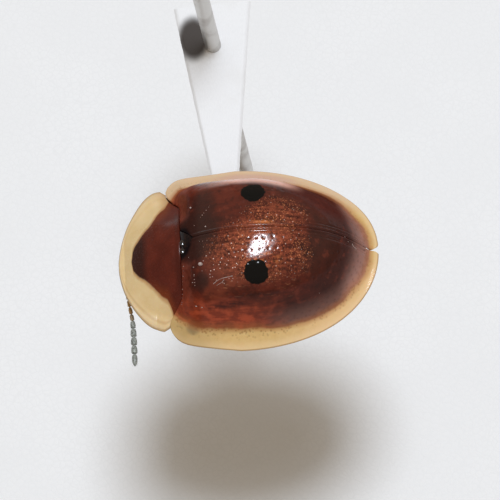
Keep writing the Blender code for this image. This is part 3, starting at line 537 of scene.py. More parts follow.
class Finish:
    """One material, with a Principled shader and short ways to add nodes to it."""

    def __init__(self, name, **constants):
        self.material = bpy.data.materials.new(name)
        self.material.use_nodes = True
        self.tree = self.material.node_tree
        self.shader = self.tree.nodes["Principled BSDF"]
        for word, value in constants.items():
            self.shader.inputs[word.replace("_", " ")].default_value = value

    def node(self, kind, settings, sockets, output=0):
        """Adds a node: its settings first, then a value or a wire for each socket named."""
        made = self.tree.nodes.new(kind)
        for word, value in settings.items():
            setattr(made, word, value)
        for word, value in sockets.items():
            self.feed(made.inputs[word], value)
        shown = [socket for socket in made.outputs if socket.enabled]
        return Wire(self, made.outputs[output] if isinstance(output, str) else shown[output])

    def feed(self, socket, value):
        """Links a wire to a socket, or sets the socket to a value."""
        if isinstance(value, Wire):
            self.tree.links.new(value.socket, socket)
        elif socket.type == 'VECTOR' and isinstance(value, (int, float)):
            socket.default_value = (value, value, value)
        elif socket.type == 'RGBA':
            socket.default_value = (*value[:3], 1.0)
        else:
            socket.default_value = value

    def set(self, word, value):
        self.feed(self.shader.inputs[word], value)

    def place(self):
        """The point on the piece, in its own millimetres."""
        return self.node("ShaderNodeTexCoord", {}, {}, "Object") * (1 / MM, 1 / MM, 1 / MM)

    def parts(self, vector):
        """The three numbers of a vector or colour."""
        split = self.node("ShaderNodeSeparateXYZ", {}, {"Vector": vector}, "X")
        outputs = split.socket.node.outputs
        return [Wire(self, outputs[word]) for word in "XYZ"]

    def mark(self, word):
        """A number that the piece carries at each point."""
        return self.node("ShaderNodeAttribute", {"attribute_name": word}, {}, "Fac")

    def grain(self, place, size, detail=2.0, roughness=0.5):
        """Soft noise around 0.5, with features of that size in millimetres."""
        return self.node("ShaderNodeTexNoise", {}, {
            "Vector": place, "Scale": 1.0 / size, "Detail": detail, "Roughness": roughness}, "Fac")

    def cells(self, place, size, feature='F1'):
        """Distance to the nearest of many scattered points, or to the walls between them."""
        return self.node("ShaderNodeTexVoronoi", {"feature": feature},
                         {"Vector": place, "Scale": 1.0 / size}, "Distance")

    def dots(self, place, size, radius, share):
        """Scattered dots, a size apart, of that radius as a share of it; only some show."""
        far = self.cells(place, size)
        pick = self.parts(Wire(self, far.socket.node.outputs["Color"]))[0]
        return far.rise(radius, radius * 0.5) * pick.rise(1.02 - share, 1.04 - share)

    def blend(self, first, second, share):
        """A colour between two others."""
        made = self.tree.nodes.new("ShaderNodeMix")
        made.data_type = 'RGBA'
        colours = [socket for socket in made.inputs if socket.type == 'RGBA']
        self.feed(made.inputs[0], share)
        self.feed(colours[0], first)
        self.feed(colours[1], second)
        return Wire(self, [socket for socket in made.outputs if socket.type == 'RGBA'][0])

    def layers(self, ground, *layers):
        """A ground with further colours laid over it in turn, each with its own share."""
        for colour, share in layers:
            ground = self.blend(ground, colour, share)
        return ground

    def bump(self, height, depth, strength=1.0):
        """Fine relief: a height of 0 to 1 stands that many millimetres tall."""
        return self.node("ShaderNodeBump", {}, {"Height": height, "Distance": depth * MM,
                                                "Strength": strength}, "Normal")


# Making pieces

def bent(value):
    """0 to 1 with soft ends."""
    value = np.clip(value, 0.0, 1.0)
    return value * value * (3.0 - 2.0 * value)


def mixed(first, second, share):
    """A value between two others."""
    return first + (second - first) * share


def ridge(distance, at, width, height):
    """A bead where a distance has that value, fading within about that width."""
    return np.exp(-((distance - at) / width) ** 2) * height


def mound(x, y, middle_x, middle_y, spread_out):
    """1 at a point, fading all round it."""
    return np.exp(-((x - middle_x) ** 2 + (y - middle_y) ** 2) / spread_out)


def walk(line):
    """How far along a line of points each of them lies."""
    return np.concatenate([[0.0], np.cumsum(np.linalg.norm(np.diff(line, axis=0), axis=1))])


def spread(line, count):
    """Points at equal steps along a line of many points."""
    line = np.asarray(line, float)
    lengths = walk(line)
    goals = np.linspace(0.0, lengths[-1], count + 1)
    return np.stack([np.interp(goals, lengths, line[:, k]) for k in range(line.shape[1])], axis=1)


def shares(rows, columns):
    """Shares from 0 to 1 down the rows and across the columns of a grid."""
    return np.arange(rows + 1)[:, None] / rows, np.arange(columns + 1)[None, :] / columns


def halfway(inside, low, high):
    """The border between a place that is inside and one that isn't, by halving."""
    for _ in range(HALVINGS):
        middle = (low + high) / 2
        within = inside(middle)
        low, high = np.where(within, middle, low), np.where(within, high, middle)
    return low


def welded(points, faces, marks):
    """Joins points that lie on each other and drops faces that this closes up."""
    _, first, index = np.unique(np.round(points, 5), axis=0, return_index=True,
                                return_inverse=True)
    index = index.ravel()
    kept = []
    for face in faces:
        ring = []
        for corner in index[face]:
            if not ring or corner != ring[-1]:
                ring.append(int(corner))
        if len(ring) > 1 and ring[0] == ring[-1]:
            ring.pop()
        if len(set(ring)) == len(ring) > 2:
            kept.append(ring)
    return points[first], kept, {word: values[first] for word, values in marks.items()}


def piece(name, points, faces, finish, node=None, marks=None, held=True, sharp=None):
    """A named piece from points in millimetres; a held one is set where the beetle is."""
    points, faces, marks = welded(np.asarray(points, float), faces, marks or {})
    mesh = bpy.data.meshes.new(name)
    mesh.from_pydata((points * MM).tolist(), [], faces)
    for word, values in marks.items():
        layer = mesh.attributes.new(word, 'FLOAT', 'POINT')
        layer.data.foreach_set("value", np.asarray(values, np.float32))
    mesh.validate()
    mesh.shade_smooth()
    if sharp:
        mesh.set_sharp_from_angle(angle=math.radians(sharp))
    mesh.materials.append(finish.material)
    item = bpy.data.objects.new(name, mesh)
    bpy.context.scene.collection.objects.link(item)
    if held:
        item.matrix_world = (Matrix.Translation(BEETLE_AT * MM)
                             @ Matrix.Rotation(-NOSE_UP, 4, 'X'))
    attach(item, "root")
    if node:
        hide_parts(node)


def sheet_faces(rows, columns, start=0, flip=False):
    """Four-cornered faces over a grid of points."""
    i, j = np.meshgrid(np.arange(rows), np.arange(columns), indexing="ij")
    a = (start + i * (columns + 1) + j).ravel()
    faces = np.stack([a, a + 1, a + columns + 2, a + columns + 1], axis=1)
    return faces[:, ::-1] if flip else faces


def tube_faces(rings, sides, flip=False):
    """Faces round a stack of rings, and one over each end."""
    faces = []
    for i in range(rings - 1):
        for k in range(sides):
            a, b = i * sides + k, i * sides + (k + 1) % sides
            faces.append([a, a + sides, b + sides, b] if flip else [a, b, b + sides, a + sides])
    first, last = list(range(sides)), [(rings - 1) * sides + k for k in range(sides)]
    return faces + ([first, last[::-1]] if flip else [first[::-1], last])


def normals_of(grid):
    """Unit normals of a grid of points, pointing up."""
    along = np.gradient(grid, axis=0)
    across = np.gradient(grid, axis=1)
    normal = np.cross(across, along)
    length = np.linalg.norm(normal, axis=2, keepdims=True)
    normal = normal / np.maximum(length, 1e-12)
    return np.where(normal[..., 2:] < 0, -normal, normal)


def shell_between(upper, lower, marks, folded=False):
    """Points, faces and marks of a thin solid between two grids, with a rounded edge.

    With folded set, the last row lies on itself on the middle line and gets no wall.
    """
    rows, columns = upper.shape[0] - 1, upper.shape[1] - 1
    count = (rows + 1) * (columns + 1)
    loop = [(0, j) for j in range(columns)] + [(i, columns) for i in range(rows)]
    if not folded:
        loop += [(rows, j) for j in range(columns, 0, -1)]
    else:
        loop += [(rows, columns)]
    loop += [(i, 0) for i in range(rows, 0, -1)]
    top = np.array([i * (columns + 1) + j for i, j in loop])
    inside = np.array([min(max(i, 1), rows - 1) * (columns + 1) + min(max(j, 1), columns - 1)
                       for i, j in loop])
    flat_upper, flat_lower = upper.reshape(-1, 3), lower.reshape(-1, 3)
    middle = (flat_upper[top] + flat_lower[top]) / 2
    outward = middle - (flat_upper[inside] + flat_lower[inside]) / 2
    outward /= np.maximum(np.linalg.norm(outward, axis=1, keepdims=True), 1e-9)
    thick = np.linalg.norm(flat_upper[top] - flat_lower[top], axis=1, keepdims=True)
    middle = middle + outward * np.minimum(thick, 0.1) * 0.4
    points = np.concatenate([flat_upper, flat_lower, middle])
    faces = list(sheet_faces(rows, columns)) + list(sheet_faces(rows, columns, count, True))
    edge = 2 * count + np.arange(len(loop))
    after = np.roll(np.arange(len(loop)), -1)
    for k, n in enumerate(after):
        if folded and k == columns + rows:
            continue
        faces.append(np.array([top[n], top[k], edge[k], edge[n]]))
        faces.append(np.array([edge[n], edge[k], top[k] + count, top[n] + count]))
    wide = {word: np.concatenate([values.ravel(), values.ravel(), values.ravel()[top]])
            for word, values in marks.items()}
    return points, faces, wide


# Shape of the back

def rim_height(y):
    """Height of the outer rim, which drops in the middle and rises to the front and the tail."""
    ahead = -RIM_DROP * (1.0 - np.minimum(1.0, np.maximum(0.0, -y) / FRONT_RISE_Y) ** 3)
    ahead -= FRONT_DIP * np.maximum(0.0, -y - FRONT_RISE_Y) ** 2
    behind = -RIM_DROP * (1.0 - np.minimum(1.0, np.maximum(0.0, y) / RIM_Y) ** 5)
    return np.where(y < 0, ahead, behind)


def foot_height(y):
    """Height of the line where the dome meets the flat margin."""
    share = np.minimum(1.0, np.maximum(0.0, y) / RIM_Y)
    return rim_height(y) + MARGIN_FALL - (MARGIN_FALL - MARGIN_FALL_TAIL) * share ** 4


def dome_ratio(x, y, inset=0.0):
    """0 on the dome's middle and 1 on its foot, or on a line set in from it."""
    along = y - DOME_CENTRE_Y
    shift = DOME_LENGTH_SHIFT * along / np.hypot(along, DOME_SHIFT_SOFTNESS)
    reach = DOME_HALF_LENGTH + shift - inset
    across = np.abs(x) / (DOME_HALF_WIDTH - inset)
    along = np.abs(along) / reach
    plain = np.hypot(across, along)
    extra = np.where(y < DOME_CENTRE_Y, DOME_SQUARENESS * np.minimum(plain, 1.0) ** 2, 0.0)
    power = 2.0 + extra
    return (across ** power + along ** power) ** (1.0 / power)


def dome_height(x, y, inset=0.0):
    """Height of the plain dome, or of a skin set in from it."""
    ratio = np.minimum(1.0, dome_ratio(x, y, inset))
    side = x * x / (x * x + (y - DOME_CENTRE_Y) ** 2 + 1e-9)
    crown = mixed(CROWN_SHARE, CROWN_SHARE_SIDE, side)
    flank = ratio ** mixed(FLANK_POWER, FLANK_POWER_SIDE, side)
    fall = crown * ratio ** 2 + (1.0 - crown) * flank
    top = DOME_TOP - foot_height(np.float64(DOME_CENTRE_Y)) - inset
    tilt = CROWN_TILT * (y - DOME_CENTRE_Y) * (1.0 - ratio ** 2) ** 2
    return foot_height(y) + top * (1.0 - fall) + tilt


def base_line(x):
    """The joint between shield and wing cases, swept forward at the shoulders."""
    return BASE_Y - BASE_SWEEP * bent((np.abs(x) - BASE_BEND_X) / BASE_BEND_WIDTH)


def case_base(x):
    """Front edge of the wing cases, cut away for the small plate."""
    notch = (PLATE_LENGTH + JOINT_HALF) * np.maximum(0.0, 1.0 - np.abs(x) / PLATE_HALF)
    return base_line(x) + JOINT_HALF + notch


def case_height(x, y):
    """The dome, with the base of each wing case sloping down to the shield."""
    height = dome_height(x, y)
    base = base_line(x)
    near = 1.0 - np.clip((y - base - JOINT_HALF) / FRONT_SLOPE, 0.0, 1.0)
    aside = bent((np.abs(x) - FRONT_SLOPE_X) / FRONT_SLOPE_X)
    step = np.maximum(0.0, height - shield_height(x, base) - FRONT_STEP)
    return height - step * aside * near ** 1.5


def case_rim(count):
    """Outer edge of a wing case, from its front corner round to the tail notch."""
    s = (1.0 - np.arange(SHOULDER_STEPS) / SHOULDER_STEPS) ** 0.5
    width = HALF_WIDTH * (1.0 - SHOULDER_NARROWING * s)
    x = width * (1.0 - s ** SHOULDER_POWER) ** (1.0 / SHOULDER_POWER)
    y = WIDEST_Y - SHOULDER_REACH * s
    free = (y > case_base(x)) & (x > BASE_BEND_X)
    x, y = x[free], y[free]
    corner_x = x[0] - FRONT_CORNER_CUT
    tail = math.acos((TAIL_NOTCH_HALF / HALF_WIDTH) ** (TAIL_POWER / 2.0))
    turn = tail * np.arange(1, TAIL_STEPS + 1) / TAIL_STEPS
    round_x = HALF_WIDTH * np.cos(turn) ** (2.0 / TAIL_POWER)
    round_y = WIDEST_Y + TAIL_REACH * np.sin(turn) ** (2.0 / TAIL_POWER)
    bend = math.pi / 2 * np.arange(1, NOTCH_STEPS + 1) / NOTCH_STEPS
    notch_x = mixed(TAIL_NOTCH_HALF, SEAM_HALF, np.sin(bend))
    notch_y = round_y[-1] - TAIL_NOTCH_DEPTH * (1.0 - np.cos(bend))
    xs = np.concatenate([[corner_x], x, round_x, notch_x])
    ys = np.concatenate([[case_base(corner_x)], y, round_y, notch_y])
    return spread(np.stack([xs, ys], axis=1), count)


def case_plan():
    """The left wing case from above: how far each point is across and along, and the margin."""
    rim = case_rim(CASE_ROWS)
    seam_start = float(case_base(np.float64(SEAM_HALF)))
    down = np.arange(CASE_ROWS + 1) / CASE_ROWS
    inner = np.stack([np.full_like(down, SEAM_HALF), mixed(seam_start, SEAM_END_Y, down)], axis=1)

    def on_dome(share):
        at = inner + (rim - inner) * share[:, None]
        return dome_ratio(at[:, 0], at[:, 1]) < 1.0

    foot = halfway(on_dome, np.zeros(CASE_ROWS + 1), np.ones(CASE_ROWS + 1))[:, None]
    over = np.arange(DOME_COLUMNS) / DOME_COLUMNS
    out = np.arange(MARGIN_COLUMNS + 1) / MARGIN_COLUMNS
    share = np.concatenate([foot * over, mixed(foot, 1.0, out)], axis=1)
    across = np.broadcast_to(np.concatenate([over, 1.0 + out]), share.shape)
    x = mixed(inner[:, :1], rim[:, :1], share)
    y = mixed(inner[:, 1:], rim[:, 1:], share)
    corner_x, corner_y = rim[0]
    first = mixed(seam_start, corner_y, (x - SEAM_HALF) / (corner_x - SEAM_HALF))
    y = y + (case_base(np.minimum(x, corner_x)) - first) * (1.0 - down[:, None]) ** 5
    margin = np.linalg.norm(rim - (inner + (rim - inner) * foot), axis=1)[:, None]
    return x, y, across, margin, np.broadcast_to(down[:, None], x.shape)


def case_grid():
    """Upper face of the left wing case, with how far each point is across and along it."""
    x, y, across, margin, down = case_plan()
    outside = np.maximum(0.0, across - 1.0)
    on_margin = mixed(foot_height(y), rim_height(y), outside)
    above = np.where(across < 1.0, np.maximum(case_height(x, y) - on_margin, 0.0), 0.0)
    lift = mixed(FOOT_LIFT, FOOT_LIFT_TAIL, bent((y - FOOT_LIFT_TAIL_Y) / FOOT_LIFT_TAIL_Y))
    lift = mixed(BASE_LIFT, lift, bent((y - base_line(x)) / BASE_LIFT_LENGTH))
    width = margin * outside
    last = DOME_COLUMNS - 1
    step = np.hypot(x[:, last + 1] - x[:, last], y[:, last + 1] - y[:, last])
    steepness = above[:, last] / np.maximum(step, 1e-6)
    flow = lift * np.exp(-width * steepness[:, None] / (2.0 * lift)) * (1.0 - outside ** 2) ** 2
    soft = np.where(across < 1.0, (above + np.sqrt(above ** 2 + 4.0 * lift ** 2)) / 2.0, flow)
    return np.stack([x, y, on_margin + soft], axis=2), across, down


def grid_point(grid, row, column):
    """A point of a grid between its own points."""
    i, j = int(min(row, grid.shape[0] - 2)), int(min(column, grid.shape[1] - 2))
    a, b = row - i, column - j
    return ((1 - a) * ((1 - b) * grid[i, j] + b * grid[i, j + 1])
            + a * ((1 - b) * grid[i + 1, j] + b * grid[i + 1, j + 1]))


def case_pits(grid, dice):
    """Places, radii, depths and darkness of the pits: rows, a scatter and those on the margin."""
    pits = []
    walked = walk(grid[CASE_ROWS // 2, :DOME_COLUMNS + 1])
    for line in range(int(walked[-1] / PIT_ROW_STEP)):
        column = np.interp(PIT_ROW_STEP * (line + PIT_ROW_START), walked, np.arange(len(walked)))
        run = walk([grid_point(grid, i, column) for i in range(CASE_ROWS + 1)])
        at = FIRST_PIT + PIT_STAGGER * (line % 2)
        while at < run[-1] - PIT_FREE_END:
            row = np.interp(at, run, np.arange(len(run)))
            wander = dice.gauss(0.0, PIT_WANDER)
            fade = 1.0 - PIT_FADE * at / run[-1]
            pits.append((grid_point(grid, row, column + wander),
                         PIT_RADIUS * dice.uniform(*PIT_RADIUS_SHARES),
                         PIT_DEPTH * fade * dice.uniform(*PIT_DEPTH_SHARES), 1.0))
            at += PIT_STEP * dice.uniform(*PIT_STEP_SHARES)
    for _ in range(SCATTERED_PITS):
        row = CASE_ROWS * dice.uniform(*SCATTER_ROWS)
        column = DOME_COLUMNS * dice.uniform(*SCATTER_COLUMNS)
        pits.append((grid_point(grid, row, column), dice.uniform(*SCATTER_RADII),
                     dice.uniform(*SCATTER_DEPTHS), 0.5))
    for _ in range(MARGIN_PITS):
        row = CASE_ROWS * dice.uniform(*MARGIN_PIT_ROWS)
        column = DOME_COLUMNS + MARGIN_COLUMNS * abs(dice.gauss(0.0, MARGIN_PIT_SPREAD))
        if column < DOME_COLUMNS + MARGIN_COLUMNS - 3:
            pits.append((grid_point(grid, row, column), dice.uniform(*MARGIN_PIT_RADII),
                         dice.uniform(*MARGIN_PIT_DEPTHS), 0.9))
    return pits


def sunk_pits(grid, dice):
    """How deep the pits sink each point of a grid, and how dark they make it."""
    tree = kdtree.KDTree(grid.shape[0] * grid.shape[1])
    for k, point in enumerate(grid.reshape(-1, 3)):
        tree.insert(point, k)
    tree.balance()
    sunk = np.zeros(grid.shape[0] * grid.shape[1])
    shade = np.zeros_like(sunk)
    for centre, radius, depth, dark in case_pits(grid, dice):
        for _, k, distance in tree.find_range(centre, radius * 2.2):
            share = math.exp(-(distance / radius) ** 2)
            sunk[k] += depth * share
            shade[k] = max(shade[k], dark * share)
    return sunk.reshape(grid.shape[:2]), shade.reshape(grid.shape[:2])


def dome_relief(x, y, down):
    """Bead and grooves along the seam, unrest of the horn, hollows and teeth at the base."""
    bead = ridge(x, *SEAM_BEAD)
    depth = SEAM_GROOVE_DEPTH + SEAM_GROOVE_TAIL * bent((down - 0.4) / 0.4)
    groove = ridge(x, SEAM_GROOVE_AT, SEAM_GROOVE_WIDTH, depth)
    second = ridge(x, *SECOND_GROOVE) * bent((down - 0.55) / 0.2)
    unrest = UNREST * np.sin(x * 5.1 + y * 2.3) * np.sin(y * 4.4 - x * 1.7)
    hollow = sum(deep * mound(x, y, *where) for deep, *where in BASE_HOLLOWS)
    ahead = y - base_line(x)
    teeth = TOOTH_HEIGHT * np.sin(x * math.pi / TOOTH_STEP) ** 2
    teeth = teeth * ridge(ahead, TOOTH_AT, TOOTH_REACH, 1.0) * bent((x - TOOTH_FROM_X) / 0.2)
    return bead - groove - second + unrest - hollow + teeth


def wing_case(side, name, node, finish):
    """One wing case: a thin domed shell with rows of pits, a beaded seam and a flat margin."""
    grid, across, down = case_grid()
    sunk, shade = sunk_pits(grid, random.Random(20 + side))
    x, y = grid[..., 0], grid[..., 1]
    lift = np.where(across < 1.0, dome_relief(x, y, down), 0.0) - sunk
    up = normals_of(grid)
    upper = grid + up * lift[..., None]
    thick = mixed(SHELL, RIM_SHELL, np.clip(across - 1.0, 0.0, 1.0))
    lower = grid - up * thick[..., None]
    lower[..., 0] = np.maximum(lower[..., 0], SEAM_HALF)
    marks = {"across": across, "ratio": dome_ratio(x, y), "pit": shade}
    mirror = np.array([side, 1.0, 1.0])
    points, faces, marks = shell_between(upper * mirror, lower * mirror, marks)
    if side > 0:
        faces = [face[::-1] for face in faces]
    piece(name, points, faces, finish, node, marks)


# Shield

def lean(points):
    """Turns the fore body a little to the beetle's left."""
    points = points.copy()
    points[..., 0] += np.maximum(0.0, BASE_Y - points[..., 1]) * math.tan(SHIELD_LEAN)
    return points


def shield_height(x, y):
    """Height of the shield: a swelling that runs out into the flat brim."""
    back = np.clip((BASE_Y - y) / SHIELD_LENGTH, 0.0, 1.0)
    across = np.abs(x) / mixed(SHIELD_SWELL_BACK, SHIELD_SWELL_FRONT, back)
    over = 1.0 - across ** 2
    over = (over + np.sqrt(over * over + SHIELD_SOFTNESS ** 2)) / 2.0
    swelling = SHIELD_HEIGHT * (1.0 - back ** 1.5) * over ** SHIELD_ROUNDNESS
    flat = bent(np.hypot(across, back))
    return mixed(foot_height(np.float64(BASE_Y)), rim_height(y), flat) + swelling


def both_halves(grid):
    """A full grid from the left half of one, right edge first."""
    mirror = np.array([-1.0, 1.0, 1.0])
    return np.concatenate([grid[:, :0:-1] * mirror, grid], axis=1)


def shield_grid():
    """Upper face of the shield's left half, with how far out each point is."""
    corner_x = SHIELD_HALF_WIDTH - SHIELD_CORNER_CUT
    t = np.arange(1, SHIELD_EDGE_STEPS + 1) / SHIELD_EDGE_STEPS
    edge_x = SHIELD_HALF_WIDTH * (1.0 - t ** SHIELD_POWER) ** (1.0 / SHIELD_POWER)
    edge_y = SHIELD_WIDEST_Y - SHIELD_FRONT_REACH * t
    xs = np.concatenate([[corner_x], edge_x])
    ys = np.concatenate([[base_line(corner_x) - JOINT_HALF], edge_y])
    edge = spread(np.stack([xs, ys], axis=1), SHIELD_ROWS)
    start, end = BASE_Y - JOINT_HALF, SHIELD_WIDEST_Y - SHIELD_FRONT_REACH * 0.88
    down, share = shares(SHIELD_ROWS, SHIELD_COLUMNS)
    x = edge[:, :1] * share
    y = mixed(mixed(start, end, down), edge[:, 1:], share)
    first = mixed(start, edge[0, 1], x / edge[0, 0])
    y = y + (base_line(np.minimum(x, edge[0, 0])) - JOINT_HALF - first) * (1.0 - down) ** 4
    return np.stack([x, y, shield_height(x, y)], axis=2), np.broadcast_to(share, x.shape)


def shield(finish):
    """The shield over the head: a swollen middle and a thin brim."""
    half, share = shield_grid()
    upper, lower = both_halves(half), both_halves(half)
    edge = np.concatenate([share[:, :0:-1], share], axis=1)
    x, y = upper[..., 0], upper[..., 1]
    back = BASE_Y - y
    # a fine bead along the hind edge, a groove before it, two hollows and a bead round the brim
    lift = ridge(back, *HIND_BEAD) - ridge(back, *HIND_GROOVE)
    lift -= SHIELD_HOLLOW_DEPTH * mound(np.abs(x), y, *SHIELD_HOLLOW)
    lift += ridge(edge, *BRIM_BEAD)
    upper = upper + normals_of(upper) * lift[..., None]
    upper[-1, :, 0] = 0.0
    lower[..., 2] -= mixed(SHELL + SHIELD_EXTRA, RIM_SHELL, edge ** 2)
    points, faces, marks = shell_between(lean(upper), lean(lower), {"edge": edge}, folded=True)
    piece("shield", points, [f[::-1] for f in faces], finish, "pronotum", marks)


def small_plate(finish):
    """Small dark triangle that closes the corner between the wing cases."""
    front, tip = BASE_Y - JOINT_HALF, BASE_Y + PLATE_LENGTH
    down, _ = shares(PLATE_STEPS, PLATE_STEPS)
    side = np.linspace(-1.0, 1.0, PLATE_STEPS + 1)[None, :]
    half = (PLATE_HALF - JOINT_HALF) * (1.0 - down) ** 0.85
    x = half * side
    y = np.broadcast_to(mixed(front, tip, down), x.shape)
    crown = PLATE_CROWN * (1.0 - np.abs(side) ** 3) * (1.0 - 0.6 * down)
    upper = np.stack([x, y, dome_height(x, y) + crown - PLATE_SINK], axis=2)
    lower = upper - np.array([0.0, 0.0, PLATE_THICKNESS])
    points, faces, _ = shell_between(upper, lower, {})
    piece("small_plate", points, faces, finish, "scutellum")


def plate_beads(finish):
    """Two small glossy knobs on and beside the small plate."""
    heap = Heap()
    for x in KNOB_XS:
        z = float(dome_height(np.float64(x), np.float64(KNOB_Y))) + KNOB_OVER
        heap.egg((x, KNOB_Y, z), KNOB_SIZE, 0.0, 16, 24)
    heap.piece("plate_beads", finish, None, "dark_body")


def joint_collar(finish):
    """Skin that closes the joint from below, under the front edge of the wing cases."""
    x = COLLAR_HALF * np.linspace(-1.0, 1.0, COLLAR_COLUMNS + 1)[None, :]
    deep = np.array([0.0, 1.0])[:, None]
    y = base_line(x) - COLLAR_AHEAD + COLLAR_LENGTH * deep
    case = case_height(x, np.maximum(y, base_line(x) + JOINT_HALF))
    roof = np.minimum(case, shield_height(x, base_line(x)) + 0.02) - SHELL - 0.03
    roof = roof - 0.14 * (1.0 - bent((np.abs(x) - 0.35) / 0.3))
    thick = mixed(COLLAR_THICKNESS, COLLAR_THICKNESS_SIDE, bent((np.abs(x) - 1.5) / 0.4))
    upper, lower = (np.stack([x + 0.0 * y, y, z], axis=2) for z in (roof, roof - thick))
    points, faces, _ = shell_between(upper, lower, {})
    piece("joint_collar", points, faces, finish, None)


# Body under the shell

def belly(x, y, half):
    """Height of the underside, which rises to the flanks and the tail."""
    lift = BELLY_LIFT * (np.abs(x) / half) ** 3
    behind = bent((y - BELLY_TAIL_FROM) / BELLY_TAIL_LENGTH)
    return BELLY_LOW + lift + BELLY_TAIL_LIFT * behind


def body_half(y, inset):
    """Half width of the space inside the dome."""
    return halfway(lambda x: dome_ratio(x, y, inset) < 0.985, np.zeros_like(y),
                   np.full_like(y, DOME_HALF_WIDTH))


def body_piece(name, node, x, y, top, low, finish, folded=False, leaning=False):
    """A piece of the body from the left half of its back and its underside."""
    grids = [both_halves(np.stack([x, y, z], axis=2)) for z in (top, low)]
    if leaning:
        grids = [lean(grid) for grid in grids]
    points, faces, _ = shell_between(*grids, {}, folded)
    piece(name, points, [f[::-1] for f in faces], finish, node)


def hind_body(finish):
    """Abdomen with five plates across its underside, each lapping over the next."""
    reach = DOME_TAIL_Y - UNDER_GAP - WAIST_Y
    wide = float(body_half(np.array([WAIST_Y]), UNDER_GAP)[0])
    down, share = shares(*HIND_STEPS)
    x = wide * np.cos(math.pi / 2 * down) * share
    y = mixed(WAIST_Y + 0.9 * reach * down, WAIST_Y + 0.97 * reach * np.sin(math.pi / 2 * down),
              share)
    plate = (y - WAIST_Y) / reach
    step = np.zeros_like(y)
    for first, last in zip(HIND_PLATES, HIND_PLATES[1:]):
        run = (plate - first) / (last - first)
        lap = HIND_PLATE_STEP * np.minimum(1.0, np.maximum(run, 0.0) * 3.0) ** 0.5
        step = np.where((plate >= first) & (plate < last), lap, step)
    low = belly(x, y, wide) + HIND_PLATE_STEP - step - ridge(share, *FLANK_FOLD)
    top = np.maximum(dome_height(x, y, UNDER_GAP), low + BODY_LEAST)
    body_piece("hind_body", "abdomen", x, y, top, low, finish, folded=True)


def middle_body(finish):
    """Thorax: side plates, a middle line and the sockets of the middle and hind legs."""
    down, share = shares(*MIDDLE_STEPS)
    y = np.broadcast_to(mixed(NECK_Y, WAIST_Y - 0.03, down), (down.size, share.size))
    half = body_half(y[:, 0], UNDER_GAP)[:, None]
    x = half * share
    low = belly(x, y, half)
    low = low + ridge(y + 0.55 + 0.25 * share, 0.0, 0.035, 0.05)
    low = low + ridge(share - 0.66 - 0.1 * down, 0.0, 0.03, 0.05)
    low = low + ridge(x, 0.0, 0.03, 0.035) * bent((y + 0.5) / 0.1)
    for socket in LEG_SOCKETS:
        low = low + SOCKET_HEIGHT * mound(x, y, *socket, SOCKET_SPREAD)
    body_piece("middle_body", "thorax", x, y, dome_height(x, y, UNDER_GAP), low, finish)


def fore_body(finish):
    """Underside of the fore body, with a raised strip between the front legs."""
    down, share = shares(*FORE_STEPS)
    y = np.broadcast_to(mixed(FORE_BODY_Y, NECK_Y - 0.05, down), (down.size, share.size))
    x = mixed(*FORE_BODY_HALF, bent(down)) * share
    low = BELLY_LOW + 0.06 + 0.22 * share ** 3 - 0.05 * np.exp(-(x / 0.13) ** 4)
    low = low + FORE_SOCKET_HEIGHT * mound(x, y, *FORE_SOCKET, SOCKET_SPREAD)
    least = low + FORE_BODY_LEAST
    top = np.maximum(shield_height(x, np.minimum(y, BASE_Y - 0.1)) - SHELL - 0.3, least)
    top = np.where(y > BASE_Y, np.minimum(top, dome_height(x, y) - SHELL - 0.9), top)
    top = np.maximum(top, least)
    body_piece("fore_body", "prothorax", x, y, top, low, finish, leaning=True)


# Round forms

def curve_through(path, steps):
    """A smooth run through a few points."""
    path = [np.array(p, float) for p in path]
    ends = [path[0] * 2 - path[1]] + path + [path[-1] * 2 - path[-2]]
    line = []
    for k in range(len(path) - 1):
        a, b, c, d = ends[k:k + 4]
        for t in np.arange(steps) / steps:
            line.append(0.5 * (2 * b + (c - a) * t + (2 * a - 5 * b + 4 * c - d) * t * t
                               + (3 * b - a - 3 * c + d) * t ** 3))
    line.append(path[-1])
    return np.array(line)


